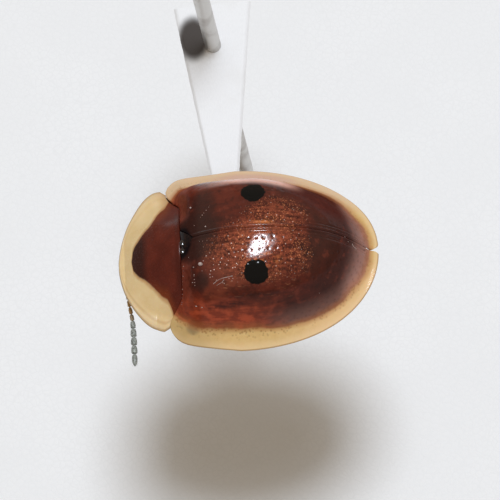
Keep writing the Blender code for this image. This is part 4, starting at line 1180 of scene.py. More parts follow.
class Heap:
    """Collects closed forms that become one piece."""

    def __init__(self):
        self.points = []
        self.faces = []
        self.tint = []

    def add(self, points, faces, tint=0.0):
        start = len(self.points)
        self.points.extend(points)
        self.faces.extend([[start + k for k in face] for face in faces])
        self.tint.extend([tint] * len(points))

    def rod(self, line, radii, tint=0.0, sides=14, flatness=1.0):
        """A round rod along a line, with a face over each end."""
        line = np.asarray(line, float)
        ahead = np.gradient(line, axis=0)
        ahead /= np.maximum(np.linalg.norm(ahead, axis=1, keepdims=True), 1e-9)
        level = np.array([0.0, 0.0, 1.0]) if abs(ahead[0][2]) < 0.9 else np.array([1.0, 0.0, 0.0])
        across = np.cross(ahead, level)
        across /= np.linalg.norm(across, axis=1, keepdims=True)
        rise = np.cross(across, ahead)
        turn = 2 * math.pi * np.arange(sides) / sides
        points = []
        for place, one, two, radius in zip(line, across, rise, radii):
            ring = (np.outer(np.cos(turn), one) + flatness * np.outer(np.sin(turn), two)) * radius
            points.extend(place + ring)
        self.add(points, tube_faces(len(line), sides), tint)

    def bead(self, start, end, radii, tint=0.0, sides=14, flatness=1.0):
        """A turned form from start to end: its radii at even steps, drawn in to round ends."""
        start, end = np.array(start, float), np.array(end, float)
        steps = 14
        share = (1.0 - np.cos(math.pi * np.arange(steps + 1) / steps)) / 2
        body = np.interp(share, np.linspace(0, 1, len(radii)), radii)
        ends = np.minimum(1.0, np.sqrt(np.clip(np.minimum(share, 1 - share) * 9.0, 0, 1)))
        line = start + np.outer(share, end - start)
        self.rod(line, body * np.maximum(ends, 0.02), tint, sides, flatness)

    def egg(self, centre, half, tint=0.0, rings=18, sides=28):
        """An egg-shaped form from its middle and its three half sizes."""
        centre, half = np.array(centre, float), np.array(half, float)
        polar = math.pi * (np.arange(rings) + 0.5) / rings
        turn = 2 * math.pi * np.arange(sides) / sides
        points = [centre + half * np.array([math.sin(p) * math.cos(t), math.sin(p) * math.sin(t),
                                            math.cos(p)]) for p in polar for t in turn]
        self.add(points, tube_faces(rings, sides, flip=True), tint)

    def hair(self, root, tip, radius, tint=0.0):
        """A fine bent hair with three sides."""
        root, tip = np.array(root, float), np.array(tip, float)
        ahead = tip - root
        side = np.cross(ahead, (0.31, 0.52, 0.79))
        side /= max(np.linalg.norm(side), 1e-9)
        other = np.cross(ahead / np.linalg.norm(ahead), side)
        points = []
        for share, size in ((0.0, 1.0), (0.5, 0.75)):
            centre = root + ahead * share + side * radius * 2.0 * math.sin(math.pi * share)
            for k in range(3):
                turn = 2 * math.pi * k / 3
                points.append(centre + (side * math.cos(turn) + other * math.sin(turn))
                              * radius * size)
        points.append(tip)
        faces = [[0, 2, 1], [0, 1, 4, 3], [1, 2, 5, 4], [2, 0, 3, 5], [3, 4, 6], [4, 5, 6],
                 [5, 3, 6]]
        self.add(points, faces, tint)

    def piece(self, name, finish, node, slot):
        piece(name, self.points, self.faces, finish, node, {"tint": np.array(self.tint)})


# Head, feelers and legs

def beside_head(offset, side):
    """A place off the head's middle, on its left side or mirrored to its right."""
    return HEAD + np.array(offset) * (side, 1, 1)


def head(finish, eye_finish):
    """Head bent down under the shield: brow, snout, upper lip, jaws and finger-like palps."""
    heap = Heap()
    for offset, half, tint in HEAD_FORMS:
        heap.egg(HEAD + offset, half, tint)
    for side in (1, -1):
        heap.egg(beside_head(JAW_AT, side), JAW_SIZE, 0.5)
        heap.bead(beside_head(PALP_ROOT, side), beside_head(PALP_TIP, side), PALP_RADII, 0.5)
        heap.egg(beside_head(BROW_KNOB_AT, side), BROW_KNOB_SIZE, 0.2)
    for side in (1, -1):
        heap.hair(beside_head(LIP_HAIR_ROOT, side), beside_head(LIP_HAIR_TIP, side),
                  LIP_HAIR_RADIUS)
    heap.piece("head_capsule", finish, "head", "dark_body")
    for side, word in ((1, "left"), (-1, "right")):
        eye = Heap()
        eye.egg((HEAD[0] + EYE_OUT * side, EYE_Y, EYE_Z), EYE_SIZE, 0.0, 24, 36)
        eye.piece("compound_eye_" + word, eye_finish, "eye_" + word, "black_eye")


def feeler_hairs(heap, a, b, radius, dark, count, dice):
    """Short hairs round one segment of a feeler, leaning towards its tip."""
    for _ in range(count):
        centre = mixed(a, b, dice.uniform(0.15, 0.95))
        ahead = (b - a) / np.linalg.norm(b - a)
        level = np.cross(ahead, (0, 0, 1))
        level /= np.linalg.norm(level)
        rise = np.cross(level, ahead)
        turn = dice.uniform(0, 2 * math.pi)
        out = level * math.cos(turn) + rise * math.sin(turn)
        foot = centre + out * radius * 0.8
        tip = foot + out * 0.035 + ahead * dice.uniform(0.03, 0.06)
        heap.hair(foot, tip, FEELER_HAIR_RADIUS, dark)


def feeler(name, node, side, path, finish, dice):
    """Eleven beads from the brow: slender and pale at first, thick, dark and downy at the end."""
    heap = Heap()
    line = curve_through([beside_head(FEELER_ROOT, side), *path], 40)
    walked = walk(line)
    lengths = np.array(SEGMENT_LENGTHS) * walked[-1] / sum(SEGMENT_LENGTHS)

    def at(distance):
        return np.array([np.interp(distance, walked, line[:, k]) for k in range(3)])

    start = 0.0
    for number, (length, radius) in enumerate(zip(lengths, SEGMENT_RADII)):
        a, b = at(start), at(start + length * 0.97)
        dark = float(bent(np.float64((number - DARK_FROM) / 1.5 + 0.5)))
        is_last = number == len(lengths) - 1
        shape = LAST_SEGMENT_SHAPE if is_last else SEGMENT_SHAPE
        heap.bead(a, b, [radius * s for s in shape], dark, 16)
        heap.bead(at(start + length * 0.9), at(min(walked[-1], start + length * 1.08)),
                  (radius * 0.4, radius * 0.4), dark, 8)
        count = DARK_SEGMENT_HAIRS if number > DARK_FROM else SEGMENT_HAIRS
        feeler_hairs(heap, a, b, radius, dark, count, dice)
        start += length
    heap.piece(name, finish, node, "brown_leg")


def leg_hairs(heap, knee, ankle, foot, ahead, level, dice):
    """Hairs round the shin, and a felt of short ones under the foot."""
    shin = ankle - knee
    along = shin / np.linalg.norm(shin)
    side = np.cross(along, (0, 0, 1))
    for _ in range(SHIN_HAIRS):
        share = dice.uniform(0.1, 1.0)
        turn = dice.uniform(0, 2 * math.pi)
        out = side * math.cos(turn) + np.array((0, 0, 1)) * math.sin(turn) * 0.8
        root = knee + shin * share + out * (0.06 + 0.1 * share)
        heap.hair(root, root + out * 0.05 + along * 0.07, SHIN_HAIR_RADIUS, 0.6)
    for _ in range(SOLE_HAIRS):
        share = dice.uniform(0.05, 0.72)
        side = dice.uniform(-1, 1)
        root = ankle + foot * share + level * side * 0.1 - np.array((0, 0, 0.04))
        tip = root + level * side * 0.04 + ahead * 0.03 - np.array((0, 0, 0.045))
        heap.hair(root, tip, SOLE_HAIR_RADIUS, 0.7)


def leg(name, node, joints, finish, dice):
    """Socket, thigh, shin, a foot of three lobed pads and a thin joint with two claws."""
    heap = Heap()
    coxa, knee, ankle, toe = (np.array((*joint, LEG_Z)) for joint in joints)
    heap.egg(coxa + (0, 0, 0.12), SOCKET_SIZE, 0.1)
    heap.bead(coxa, mixed(coxa, knee, 1.04), THIGH_RADII, 0.1, 20, 0.9)
    heap.egg(knee, KNEE_SIZE, 0.2)
    heap.bead(knee, mixed(knee, ankle, 1.03), SHIN_RADII, 0.0, 18, 0.8)
    foot = toe - ankle
    for first, last, radius in FOOT_PADS:
        radii = (radius * 0.5, radius * 0.8, radius, radius * 0.9)
        heap.bead(ankle + foot * first, ankle + foot * last, radii, 0.35, 16, 0.5)
    heap.bead(ankle + foot * 0.6, ankle + foot * 0.96, (0.045, 0.05, 0.07), 0.5, 12)
    ahead = foot / np.linalg.norm(foot)
    level = np.cross(ahead, (0, 0, 1))
    tip = ankle + foot * 0.93
    for side in (1, -1):
        hook = [tip] + [tip + ahead * along + level * out * side - np.array((0, 0, drop))
                        for along, out, drop in CLAW_BENDS]
        heap.rod(curve_through(hook, 5), np.linspace(0.024, 0.004, 16), 1.0, 8)
    leg_hairs(heap, knee, ankle, foot, ahead, level, dice)
    heap.piece(name, finish, node, "brown_leg")


# Dust

def skin_point(x, y, over):
    """A point a little over the wing cases."""
    return (x, y, float(case_height(np.float64(abs(x)), np.float64(y))) + over)


def dust(finish):
    """Grains and fibres that have settled on the wing cases."""
    heap = Heap()
    dice = random.Random(31)
    for x, y, size in LARGE_GRAINS:
        heap.egg(skin_point(x, y, size * 0.5), (size, size * 1.2, size * 0.7), 0.3, 8, 10)
    for _ in range(DUST_GRAINS):
        x, y = (dice.uniform(*limits) for limits in DUST_AREA)
        size = dice.uniform(*GRAIN_SIZES)
        heap.egg(skin_point(x, y, size * 0.4), (size, size * dice.uniform(0.8, 1.6), size * 0.7),
                 dice.uniform(0.0, 1.0), 5, 7)
    for start, end, count in GRAIN_LINES:
        for step in range(count):
            x, y = mixed(np.array(start), np.array(end), (step + dice.uniform(0.1, 0.9)) / count)
            size = dice.uniform(*LINE_GRAIN_SIZES)
            heap.egg(skin_point(x, y, size * 0.4), (size, size, size * 0.7), 0.8, 5, 7)
    for bends in FIBRES:
        line = curve_through([skin_point(x, y, 0.012) for x, y in bends], 8)
        line = [skin_point(x, y, 0.010) for x, y, _ in line]
        heap.rod(line, [FIBRE_RADIUS] * len(line), 0.35, 6)
    heap.piece("dust", finish, None, None)


# Mount

def turned(name, profile, place, finish, node, sides=48, sharp=35):
    """A turned form from heights and radii, lowest first."""
    turn = 2 * math.pi * np.arange(sides) / sides
    points = [(place[0] + radius * math.cos(t), place[1] + radius * math.sin(t), height)
              for height, radius in profile for t in turn]
    piece(name, points, tube_faces(len(profile), sides), finish, node, held=False,
          sharp=sharp)


def box_of(node):
    """Lowest and highest corner of a solid's box, and its middle seen from above."""
    low, high = (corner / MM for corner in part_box(node))
    return low, high, ((low.x + high.x) / 2, (low.y + high.y) / 2)


def steel_pin(finish):
    """Shaft, a long fine point and a small pressed head."""
    low, high, centre = box_of("pin")
    profile = [(low.z, 0.012), (low.z + 0.05, PIN_TIP_RADIUS)]
    for share in (0.15, 0.4, 0.7, 1.0):
        widening = (PIN_RADIUS - PIN_TIP_RADIUS) * share ** 0.8
        profile.append((low.z + PIN_TAPER * share, PIN_TIP_RADIUS + widening))
    neck = high.z - PIN_HEAD_HEIGHT
    profile += [(neck - 0.25, PIN_RADIUS), (neck - 0.05, PIN_RADIUS * 1.12)]
    for step in range(PIN_HEAD_STEPS + 1):
        angle = math.pi * (0.06 + 0.9 * step / PIN_HEAD_STEPS) - math.pi / 2
        profile.append((high.z - PIN_HEAD_HEIGHT / 2 * (1 - math.sin(angle)),
                        PIN_HEAD_RADIUS * math.cos(angle) ** 0.8))
    turned("steel_pin", profile, centre, finish, "pin")


def card_place(along, across):
    """A place on the card, along it from the pin towards the tip and across it."""
    across = across + CARD_AXIS_OFFSET
    return (PIN_XY[0] + along * math.cos(CARD_TURN) - across * math.sin(CARD_TURN),
            PIN_XY[1] + along * math.sin(CARD_TURN) + across * math.cos(CARD_TURN))


def card_height(x, y, inward, upper):
    """Height of the card's upper or lower face: a lip round the pin, thin towards the edges."""
    lip = CARD_LIP * math.exp(-((math.dist((x, y), PIN_XY) - PIN_RADIUS) / CARD_LIP_WIDTH) ** 2)
    dish = CARD_EDGE_DISH * max(0.0, 1.0 - inward / CARD_EDGE_WIDTH) ** 2
    return CARD_TOP + lip - dish if upper else CARD_TOP - CARD_THICKNESS + lip * 0.4 + dish


def card_point(finish):
    """Long triangle of card with a furred cut edge and a lip round the pin."""
    grids = np.zeros((2, CARD_ROWS + 1, CARD_COLUMNS + 1, 3))
    for i in range(CARD_ROWS + 1):
        along = mixed(-CARD_BEHIND_PIN, CARD_REACH + CARD_TIP_WIDTH / 2, i / CARD_ROWS)
        share = min(1.0, (along + CARD_BEHIND_PIN) / (CARD_REACH + CARD_BEHIND_PIN))
        half = mixed(CARD_BASE_WIDTH, CARD_TIP_WIDTH, share) / 2
        if along > CARD_REACH:
            half *= max(0.15, 1.0 - (along - CARD_REACH) / (CARD_TIP_WIDTH / 2)) ** 0.5
        for j in range(CARD_COLUMNS + 1):
            side = 2.0 * j / CARD_COLUMNS - 1.0
            fray = 0.004 * math.sin(along * 9.0 + side * 2.0) + 0.002 * math.sin(along * 31.0)
            across = half * side + (fray * side if abs(side) > 0.97 else 0.0)
            x, y = card_place(along, across)
            for grid, upper in zip(grids, (True, False)):
                grid[i, j] = (x, y, card_height(x, y, half * (1.0 - abs(side)), upper))
    points, faces, _ = shell_between(*grids, {})
    piece("card_triangle", points, faces, finish, "card_point", held=False, sharp=60)


def glue_bead(finish):
    """Dried glue, drawn in at the waist, that wets the card and the underside of the thorax."""
    low, high, centre = box_of("glue")
    profile = []
    for step in range(GLUE_STEPS + 1):
        share = step / GLUE_STEPS
        profile.append((mixed(low.z - GLUE_SINK, high.z + GLUE_SINK, share),
                        GLUE_WAIST + GLUE_SPREAD * abs(2 * share - 1) ** 2.5))
    turned("glue_bead", profile, centre, finish, "glue", 40, None)


def foam_block(finish):
    """Block of fine foam: rounded edges and faces that are never quite flat."""
    low, high = (np.array(corner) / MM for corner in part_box("stand_base"))
    phase = np.random.default_rng(4).uniform(0, 6.28, (FOAM_WAVES, 3))
    middle, half = (low + high) / 2, (high - low) / 2
    steps = np.sin(np.linspace(-math.pi / 2, math.pi / 2, FOAM_STEPS + 1))
    a, b = np.meshgrid(steps, steps, indexing="ij")
    points, faces = [], []
    for axis in range(3):
        for sign in (1, -1):
            one, two = (axis + 1) % 3, (axis + 2) % 3
            spot = np.zeros((FOAM_STEPS + 1, FOAM_STEPS + 1, 3))
            spot[..., axis] = sign * half[axis]
            spot[..., one] = a * half[one]
            spot[..., two] = b * half[two]
            core = np.clip(spot, -(half - FOAM_EDGE), half - FOAM_EDGE)
            out = spot - core
            out /= np.maximum(np.linalg.norm(out, axis=2, keepdims=True), 1e-9)
            wave = sum(np.sin(spot @ phase[k] * 0.25 * (k + 1) + phase[k, 0])
                       for k in range(FOAM_WAVES))
            spot = core + out * (FOAM_EDGE - 0.02 + 0.003 * wave[..., None])
            if axis == 2 and sign < 0:
                spot[..., 2] = np.where(out[..., 2] < -0.99, -half[2], spot[..., 2])
            faces.extend(sheet_faces(FOAM_STEPS, FOAM_STEPS, len(points), sign < 0))
            points.extend((spot + middle).reshape(-1, 3))
    piece("foam_block", points, faces, finish, "stand_base", held=False)


# Finish of the wing cases

class AmberHorn(Finish):
    """Dark red horn, copper glints over the middle, black spots and a cream margin."""

    def __init__(self):
        super().__init__("amber_horn", IOR=1.45, Specular_IOR_Level=0.0, Coat_IOR=1.45,
                         Coat_Roughness=0.09, Subsurface_Weight=0.08,
                         Subsurface_Radius=(0.45, 0.18, 0.08), Subsurface_Scale=0.0002)
        self.at = self.place()
        self.x, self.y, _ = self.parts(self.at)
        self.side = abs(self.x)
        self.across = self.mark("across")
        self.ratio = self.mark("ratio")
        self.pit = self.mark("pit")
        self.cloud = self.grain(self.at, 0.7, 3.0)
        self.fine = self.grain(self.at, 0.10, 2.0)
        self.streak = self.grain(self.at * (3.4, 0.7, 3.4), 0.33, 3.0)
        self.thread = self.grain(self.at * (9.0, 1.0, 9.0), 0.5, 2.0)
        self.blotch = self.grain(self.at, 0.27, 3.0)
        self.far_tail = (self.x.rise(-0.2, -0.9) * self.y.rise(0.7, 1.6)
                         * self.ratio.rise(0.5, 0.75))
        self.far_side = (self.x.rise(-1.2, -1.7) * self.y.rise(1.9, 1.1)
                         * self.y.rise(-1.4, -0.2))
        ragged_y = self.y + (self.streak - 0.5) * 0.9
        # painted glow round the highlight, where the copper grains show
        self.field = self.patch(LEFT_GLOW_PATCH).most(
            0.85 * self.patch(RIGHT_GLOW_PATCH)) * ragged_y.rise(2.1, 1.8)
        fine_grit = self.dots(self.at, 0.046, 0.44, 0.72)
        self.grit = self.dots(self.at + (1.3, 0.2, 2.1), 0.080, 0.30, 0.55)
        # painted glints: small pale specks
        self.glint_sparks = self.dots(self.at + (3.1, 1.7, 0.4), 0.105, 0.21, 0.68)
        self.copper = (self.field.rise(0.03, 0.5) * (fine_grit * 0.6 + self.grit)).least(1.0)
        self.spots = self.black_spots()

    def patch(self, oval):
        return hill(self.x, self.y, *oval)

    def ground(self):
        """Horn that looks warmer where the hollow below lights it up, with soft blotches."""
        warm = 0.30 * self.y.rise(-1.66, -1.86) * self.side.rise(0.45, 0.8)
        for strength, *oval in WARM_PATCHES:
            warm = warm + strength * self.patch(oval)
        warm = warm + (self.cloud - 0.5) * 0.5 + (self.streak - 0.5) * 0.6 * self.y.rise(2.4, 0.9)
        return self.layers(HORN_DEEP,
                           (HORN_RED, warm.rise(-0.05, 0.40)),
                           (HORN_WARM, warm.rise(0.36, 1.05)),
                           (DARK_BLOTCH, self.blotch.rise(0.48, 0.34) * 0.45),
                           (RED_BLOTCH, self.blotch.rise(0.55, 0.70) * 0.40))

    def foot_and_base(self, horn):
        """Red foot of the dome with a furrow, and painted shade over the base of the wing cases and
        round the small plate.
        """
        foot = self.ratio.rise(0.80, 0.93) * self.y.rise(1.5, -0.4) * (
            0.55 + 0.9 * (self.cloud - 0.3)) * (1.0 - 0.45 * self.x.rise(0.0, -1.0))
        red = self.blend(FOOT_RED, FOOT_BRIGHT_RED,
                         (0.3 * self.streak + 0.7 * self.blotch).rise(0.42, 0.60))
        furrow = self.patch(FURROW_PATCH) * (self.streak + 0.6 * self.fine).rise(0.62, 0.85)
        ragged_y = self.y + (self.blotch - 0.5) * 0.9
        hem = ragged_y.rise(-1.58, -1.92) * self.side.rise(0.45, 0.8)
        # painted shade: darker patches over the base, near black round the small plate
        shadow = hill(self.side, self.y, *SEAM_SHADOW_PATCH).most(
            0.9 * self.patch(LEFT_SHADOW_PATCH)) * (0.7 + 0.6 * self.cloud)
        shadow = shadow.most(self.patch(RIGHT_SHADOW_PATCH) * 0.7)
        return self.layers(horn,
                           (TAIL_SHADE, self.far_tail * 0.7),
                           (red, foot.least(1.0) * 0.9),
                           (FURROW_BROWN, furrow * 0.8),
                           (HEM_BROWN, hem * (0.30 + 0.6 * self.fine)),
                           (SHADOW_BROWN, shadow.rise(0.1, 0.9) * 0.85),
                           (PLATE_SHADOW_BLACK, self.patch(PLATE_SHADOW_PATCH).rise(0.0, 0.6)))

    def bloom(self, horn):
        """A pale bloom on the foot of the dome, strongest at the tail: the horn's own milky colour
        with a painted reflection of the white foam; on the far side it is painted reflection only.
        """
        near = self.ratio.rise(0.90, 1.02) * self.x.rise(0.2, 1.2) * self.y.rise(0.0, 1.4)
        tail = self.ratio.rise(0.84, 1.0) * self.y.rise(2.6, 3.3)
        far = self.ratio.rise(0.665, 0.77) * self.ratio.rise(0.93, 0.84) * self.far_side
        pale = (0.30 * near + 0.50 * tail).least(1.0)
        return self.layers(horn,
                           (BLOOM_AND_SHEEN_PINK, pale * (0.75 + 0.5 * self.cloud)),
                           (FAR_SHEEN_PINK, far * (0.65 + 0.5 * self.cloud)))

    def glints(self, horn):
        """Grains that glint like copper in a painted glow round the highlight, with a painted
        pinkish sheen and painted glint specks towards the base.
        """
        field, fine = self.field, self.fine
        rose_sheen = self.patch(ROSE_SHEEN_PATCH)
        lines = self.streak.rise(0.40, 0.62)
        streaks = self.patch(STREAK_PATCHES[0]).most(self.patch(STREAK_PATCHES[1]))
        gaps = fine.rise(0.58, 0.38) * field.rise(0.1, 0.6) * (0.65 - 0.3 * lines)
        copper = self.blend(COPPER_DARK, COPPER_BRIGHT, self.cloud.rise(0.42, 0.62))
        threads = self.thread.rise(0.62, 0.72) * self.patch(THREAD_PATCH)
        glint_sparks = self.glint_sparks * (rose_sheen + field * 0.75).least(1.0)
        return self.layers(horn,
                           (BASE_ROSE_SHEEN, rose_sheen * 0.25),
                           (COPPER_GLOW_BED, field.rise(0.1, 0.9) * (0.02 + 0.55 * lines)),
                           (COPPER_GLOW_STREAK, lines * 0.55 * streaks),
                           (GAP_BROWN, gaps),
                           (copper, self.copper * 0.8),
                           (GLINT_SPARK_PINK, glint_sparks * 0.95),
                           (THREAD_BROWN, threads * 0.5))

    def black_spots(self):
        """One round spot on each wing case, with an uneven edge."""
        wobble = (self.grain(self.at, 0.24, 1.0) - 0.5) * 0.42 + (self.fine - 0.5) * 0.12
        off_x = (self.side - (SPOT_X - SPOT_X_SHIFT * self.x.rise(0.5, -0.5))) / SPOT_HALF_WIDTH
        off_y = (self.y - SPOT_Y) / SPOT_HALF_LENGTH
        return ((off_x ** 2.0 + off_y ** 2.0) ** 0.5 + wobble).rise(1.04, 0.94)

    def cream(self):
        """Cream of the margin, with brown freckles along its inner edge, a painted rosy reflection
        on the far side and painted light on the near side towards the tail.
        """
        x, y, across = self.x, self.y, self.across
        return self.layers(
            CREAM,
            (CREAM_LIGHT, self.grain(self.at, 0.16, 3.0)),
            (CREAM_EDGE, across.rise(1.5, 2.0) * 0.7),
            (CREAM_FAR_SHEEN, x.rise(-1.0, -2.0) * 0.6),
            (CREAM_FAR_ROSE_SHEEN, across.rise(1.92, 1.62) * self.far_side),
            (CREAM_FRONT, y.rise(-0.6, -1.8) * x.rise(1.0, 2.0) * 0.62),
            (CREAM_TAIL_LIT, y.rise(0.6, 2.4) * x.rise(0.2, 1.0) * 0.4),
            (FRECKLE_BROWN, self.pit.rise(0.25, 0.8) * across.rise(1.75, 1.1) * 0.55),
            (SMUDGE_BROWN, self.patch(SMUDGE_PATCH) * (0.5 + self.cloud) * 0.7),
            (RIM_BROWN, across.rise(1.965, 1.995) * 0.35))

    def brim_reach(self):
        """How far a point lies outside the line where the cream begins."""
        reach = (self.grain(self.at, 0.5, 2.0) - 0.5) * 0.04 + self.ratio - 1.012
        for inward, *oval in CREAM_INWARD_PATCHES:
            reach = reach - inward * self.patch(oval)
        return reach - 0.016 * self.y.rise(2.9, 3.4)


def amber_finish():
    """The wing cases' colours laid over each other, with their gloss and relief."""
    skin = AmberHorn()
    horn = skin.glints(skin.bloom(skin.foot_and_base(skin.ground())))
    clear_of_spots = 1.0 - skin.spots
    # black spots, and painted shade in the pits, stronger in the glow round the highlight
    horn = skin.layers(horn, (SPOT_BLACK, skin.spots),
                       (PIT_SHADE_BROWN, skin.pit * (0.25 + 0.5 * skin.field) * clear_of_spots))
    reach = skin.brim_reach()
    brim = reach.rise(-0.008, 0.022)
    halo = reach.rise(-0.05, -0.005) * reach.rise(0.06, 0.015)
    skin.set("Base Color", skin.layers(horn, (skin.cream(), brim), (HALO_BROWN, halo * 0.45)))
    skin.set("Metallic", (skin.copper * 0.45 + skin.field * 0.12) * (1.0 - brim) * clear_of_spots)
    skin.set("Roughness", 0.44 + 0.15 * skin.fine)
    flank = skin.ratio.rise(0.62, 0.84) * (
        1.0 - 0.75 * skin.x.rise(-1.1, -1.6) * skin.y.rise(1.6, 0.9))
    base = skin.y.rise(-1.30, -1.62)
    skin.set("Coat Weight", (0.95 - 0.66 * flank) * (1.0 - 0.85 * base) * (1.0 - 0.6 * brim)
             * (1.0 - 0.25 * skin.spots) * (1.0 - 0.92 * skin.far_tail))
    relief = (skin.grit + skin.glint_sparks) * skin.field + 0.4 * skin.fine + 0.9 * skin.fine * brim
    skin.set("Normal", skin.bump(relief, 0.004, 0.8))
    return skin


# Other finishes

def shield_finish():
    """Shield: red-brown bell, near black at its front, and a cream brim round it."""
    finish = Finish("shield_horn", IOR=1.45, Specular_IOR_Level=0.28, Subsurface_Weight=0.15,
                    Subsurface_Radius=(0.5, 0.3, 0.12), Subsurface_Scale=0.0003)
    place = finish.place()
    x, y, _ = finish.parts(place)
    edge = finish.mark("edge")
    cloud = finish.grain(place, 0.6, 3.0)
    fine = finish.grain(place, 0.09, 2.0)

    # the bell's middle leans with the shield, and its half width grows towards the back
    reach = (y - BELL_REACH_Y).most(0.001)
    middle = (BASE_Y - y).most(0.0) * math.tan(SHIELD_LEAN) + reach.rise(0.4, 1.0) * 0.17
    half = reach ** 0.55 * 1.25 + reach.rise(1.08, 1.42) * 0.55
    half = half + reach.rise(0.50, 1.05) * (middle - x).rise(0.0, 0.6) * 0.50
    wobble = (finish.grain(place, 0.35, 2.0) - 0.5) * 0.14
    aside = abs(x - middle)
    inside = half - aside + wobble - (BELL_FRONT_Y - y).most(0.0) * 4.0
    bell = inside.rise(-0.03, 0.07)

    flank = (aside / half.most(0.05)).rise(0.62, 1.0) * y.rise(-3.1, -2.6)
    brown = finish.layers(
        BELL_BROWN,
        (BELL_RED, cloud.rise(0.3, 0.7)),
        (BELL_FRONT_BLACK, y.rise(-2.95, -3.22) * x.rise(-0.75, -0.35) * 0.95),
        (BELL_FLANK_RED, flank * 0.8),
        (BELL_HIND_BROWN, y.rise(-2.22, -2.08) * abs(x).rise(1.5, 1.0) * 0.4))
    line = edge.rise(0.86, 0.90) * edge.rise(0.94, 0.90) * (0.10 + 0.2 * x.rise(0.0, 0.5))
    cream = finish.layers(
        BRIM_CREAM,
        (BRIM_LIGHT, finish.grain(place, 0.4, 2.0)),
        (BRIM_GREY, edge.rise(0.90, 1.0) * 0.6),
        (BRIM_EDGE, edge.rise(0.972, 0.995) * 0.45),
        (BRIM_CORNER, x.rise(-1.2, -1.7) * y.rise(-2.75, -2.35) * 0.6),
        (BRIM_LINE, line))
    halo = inside.rise(-0.14, 0.0) * (1.0 - bell)
    finish.set("Base Color", finish.layers(cream, (brown, bell), (BRIM_HALO, halo * 0.6)))
    finish.set("Roughness", 0.20 + 0.12 * fine.rise(0.3, 0.8) + 0.45 * x.rise(-0.8, -1.4))
    finish.set("Coat Weight", 0.05 * cloud)
    finish.set("Normal", finish.bump(fine + 0.4 * cloud, 0.003, 0.7))
    return finish


def horn_finish(name, dark, light, size, gloss, shine=0.5):
    """Plain brown horn, lighter in patches, finely wrinkled."""
    finish = Finish(name, IOR=1.5, Specular_IOR_Level=shine, Coat_Roughness=0.1)
    place = finish.place()
    patches = finish.grain(place, size, 3.0)
    wrinkles = finish.grain(place * (1.0, 2.2, 1.0), 0.05)
    finish.set("Base Color", finish.blend(dark, light, patches.rise(0.35, 0.7)))
    finish.set("Roughness", gloss + 0.15 * wrinkles)
    finish.set("Coat Weight", 0.6 * shine * patches)
    finish.set("Normal", finish.bump(wrinkles + 0.3 * patches, 0.006))
    return finish


def limb_finish():
    """Legs and feelers: honey brown, darker where the piece says so."""
    finish = Finish("limb_horn", IOR=1.5, Coat_Roughness=0.1)
    place = finish.place()
    patches = finish.grain(place, 0.3)
    fine = finish.grain(place, 0.03)
    pale = finish.blend(LIMB_HONEY, LIMB_BROWN, patches.rise(0.35, 0.7))
    dark = finish.blend(FEELER_GREY, FEELER_DOWN, fine.rise(0.38, 0.62))
    finish.set("Base Color", finish.blend(pale, dark, finish.mark("tint")))
    finish.set("Roughness", 0.36 + 0.2 * fine)
    finish.set("Coat Weight", 0.25 * patches)
    finish.set("Normal", finish.bump(fine, 0.004))
    return finish


def dust_finish():
    """Pale grey dust with a rosy tinge."""
    finish = Finish("dust_grey", IOR=1.4)
    mottle = finish.grain(finish.place(), 0.05)
    finish.set("Base Color", finish.layers(DUST_GREY, (DUST_ROSE, finish.mark("tint")),
                                           (DUST_BROWN, mottle.rise(0.4, 0.7))))
    finish.set("Roughness", 0.6 + 0.2 * mottle)
    return finish


def plate_finish(name, shine):
    """Small plate: black and glossy, with a trace of brown."""
    finish = Finish(name, IOR=1.5, Specular_IOR_Level=shine, Coat_Roughness=0.05)
    fine = finish.grain(finish.place(), 0.07)
    finish.set("Base Color", finish.blend(PLATE_BLACK, PLATE_BROWN, fine.rise(0.45, 0.75)))
    finish.set("Roughness", 0.10 + 0.05 * fine)
    finish.set("Coat Weight", 0.4 * shine * fine)
    finish.set("Normal", finish.bump(fine, 0.001))
    return finish


def eye_finish():
    """Black eye with very small rounded facets."""
    finish = Finish("eye_black", IOR=1.5, Coat_Roughness=0.08)
    facets = finish.cells(finish.place(), 0.022)
    finish.set("Base Color", finish.blend(EYE_BLACK, EYE_BROWN, facets.rise(0.3, 0.7)))
    finish.set("Roughness", 0.14 + 0.1 * facets)
    finish.set("Coat Weight", 0.6 - 0.2 * facets)
    finish.set("Normal", finish.bump(1.0 - facets, 0.004))
    return finish


def card_finish():
    """White card: pressed fibres, a faint mottle and a dark patch beside the pin."""
    finish = Finish("card_white", IOR=1.45)
    place = finish.place()
    x, y, _ = finish.parts(place)
    fibres = finish.grain(place * (1.0, 4.0, 1.0), 0.12, 4.0, 0.6)
    mottle = finish.grain(place, 0.8, 3.0)
    # a dark patch on the card beside the pin
    patch_x, patch_y = PIN_XY[0] + DARK_PATCH_OFF_PIN[0], PIN_XY[1] + DARK_PATCH_OFF_PIN[1]
    dark_patch = hill(x, y, patch_x, patch_y, *DARK_PATCH_SIZE) + (mottle - 0.5) * 0.3
    finish.set("Base Color", finish.layers(CARD_WHITE, (CARD_FIBRE, fibres.rise(0.3, 0.7)),
                                           (CARD_MOTTLE, mottle.rise(0.5, 0.75) * 0.3),
                                           (CARD_DARK_PATCH, dark_patch.rise(0.02, 0.85) * 0.97)))
    finish.set("Roughness", 0.72 + 0.15 * fibres)
    finish.set("Normal", finish.bump(fibres + 0.3 * mottle, 0.012, 0.6))
    return finish


def steel_finish():
    """Bright drawn steel with fine lines along the shaft and a little dull bloom."""
    finish = Finish("pin_bright_steel", IOR=2.5)
    place = finish.place()
    lines = finish.grain(place * (9.0, 9.0, 0.4), 0.3, 3.0)
    bloom = finish.grain(place, 0.7, 3.0)
    finish.set("Base Color", finish.blend(STEEL_BRIGHT, STEEL_DULL, bloom.rise(0.45, 0.7)))
    finish.set("Metallic", 1.0 - 0.15 * bloom.rise(0.5, 0.8))
    finish.set("Roughness", 0.24 + 0.2 * lines)
    finish.set("Normal", finish.bump(lines, 0.004))
    return finish


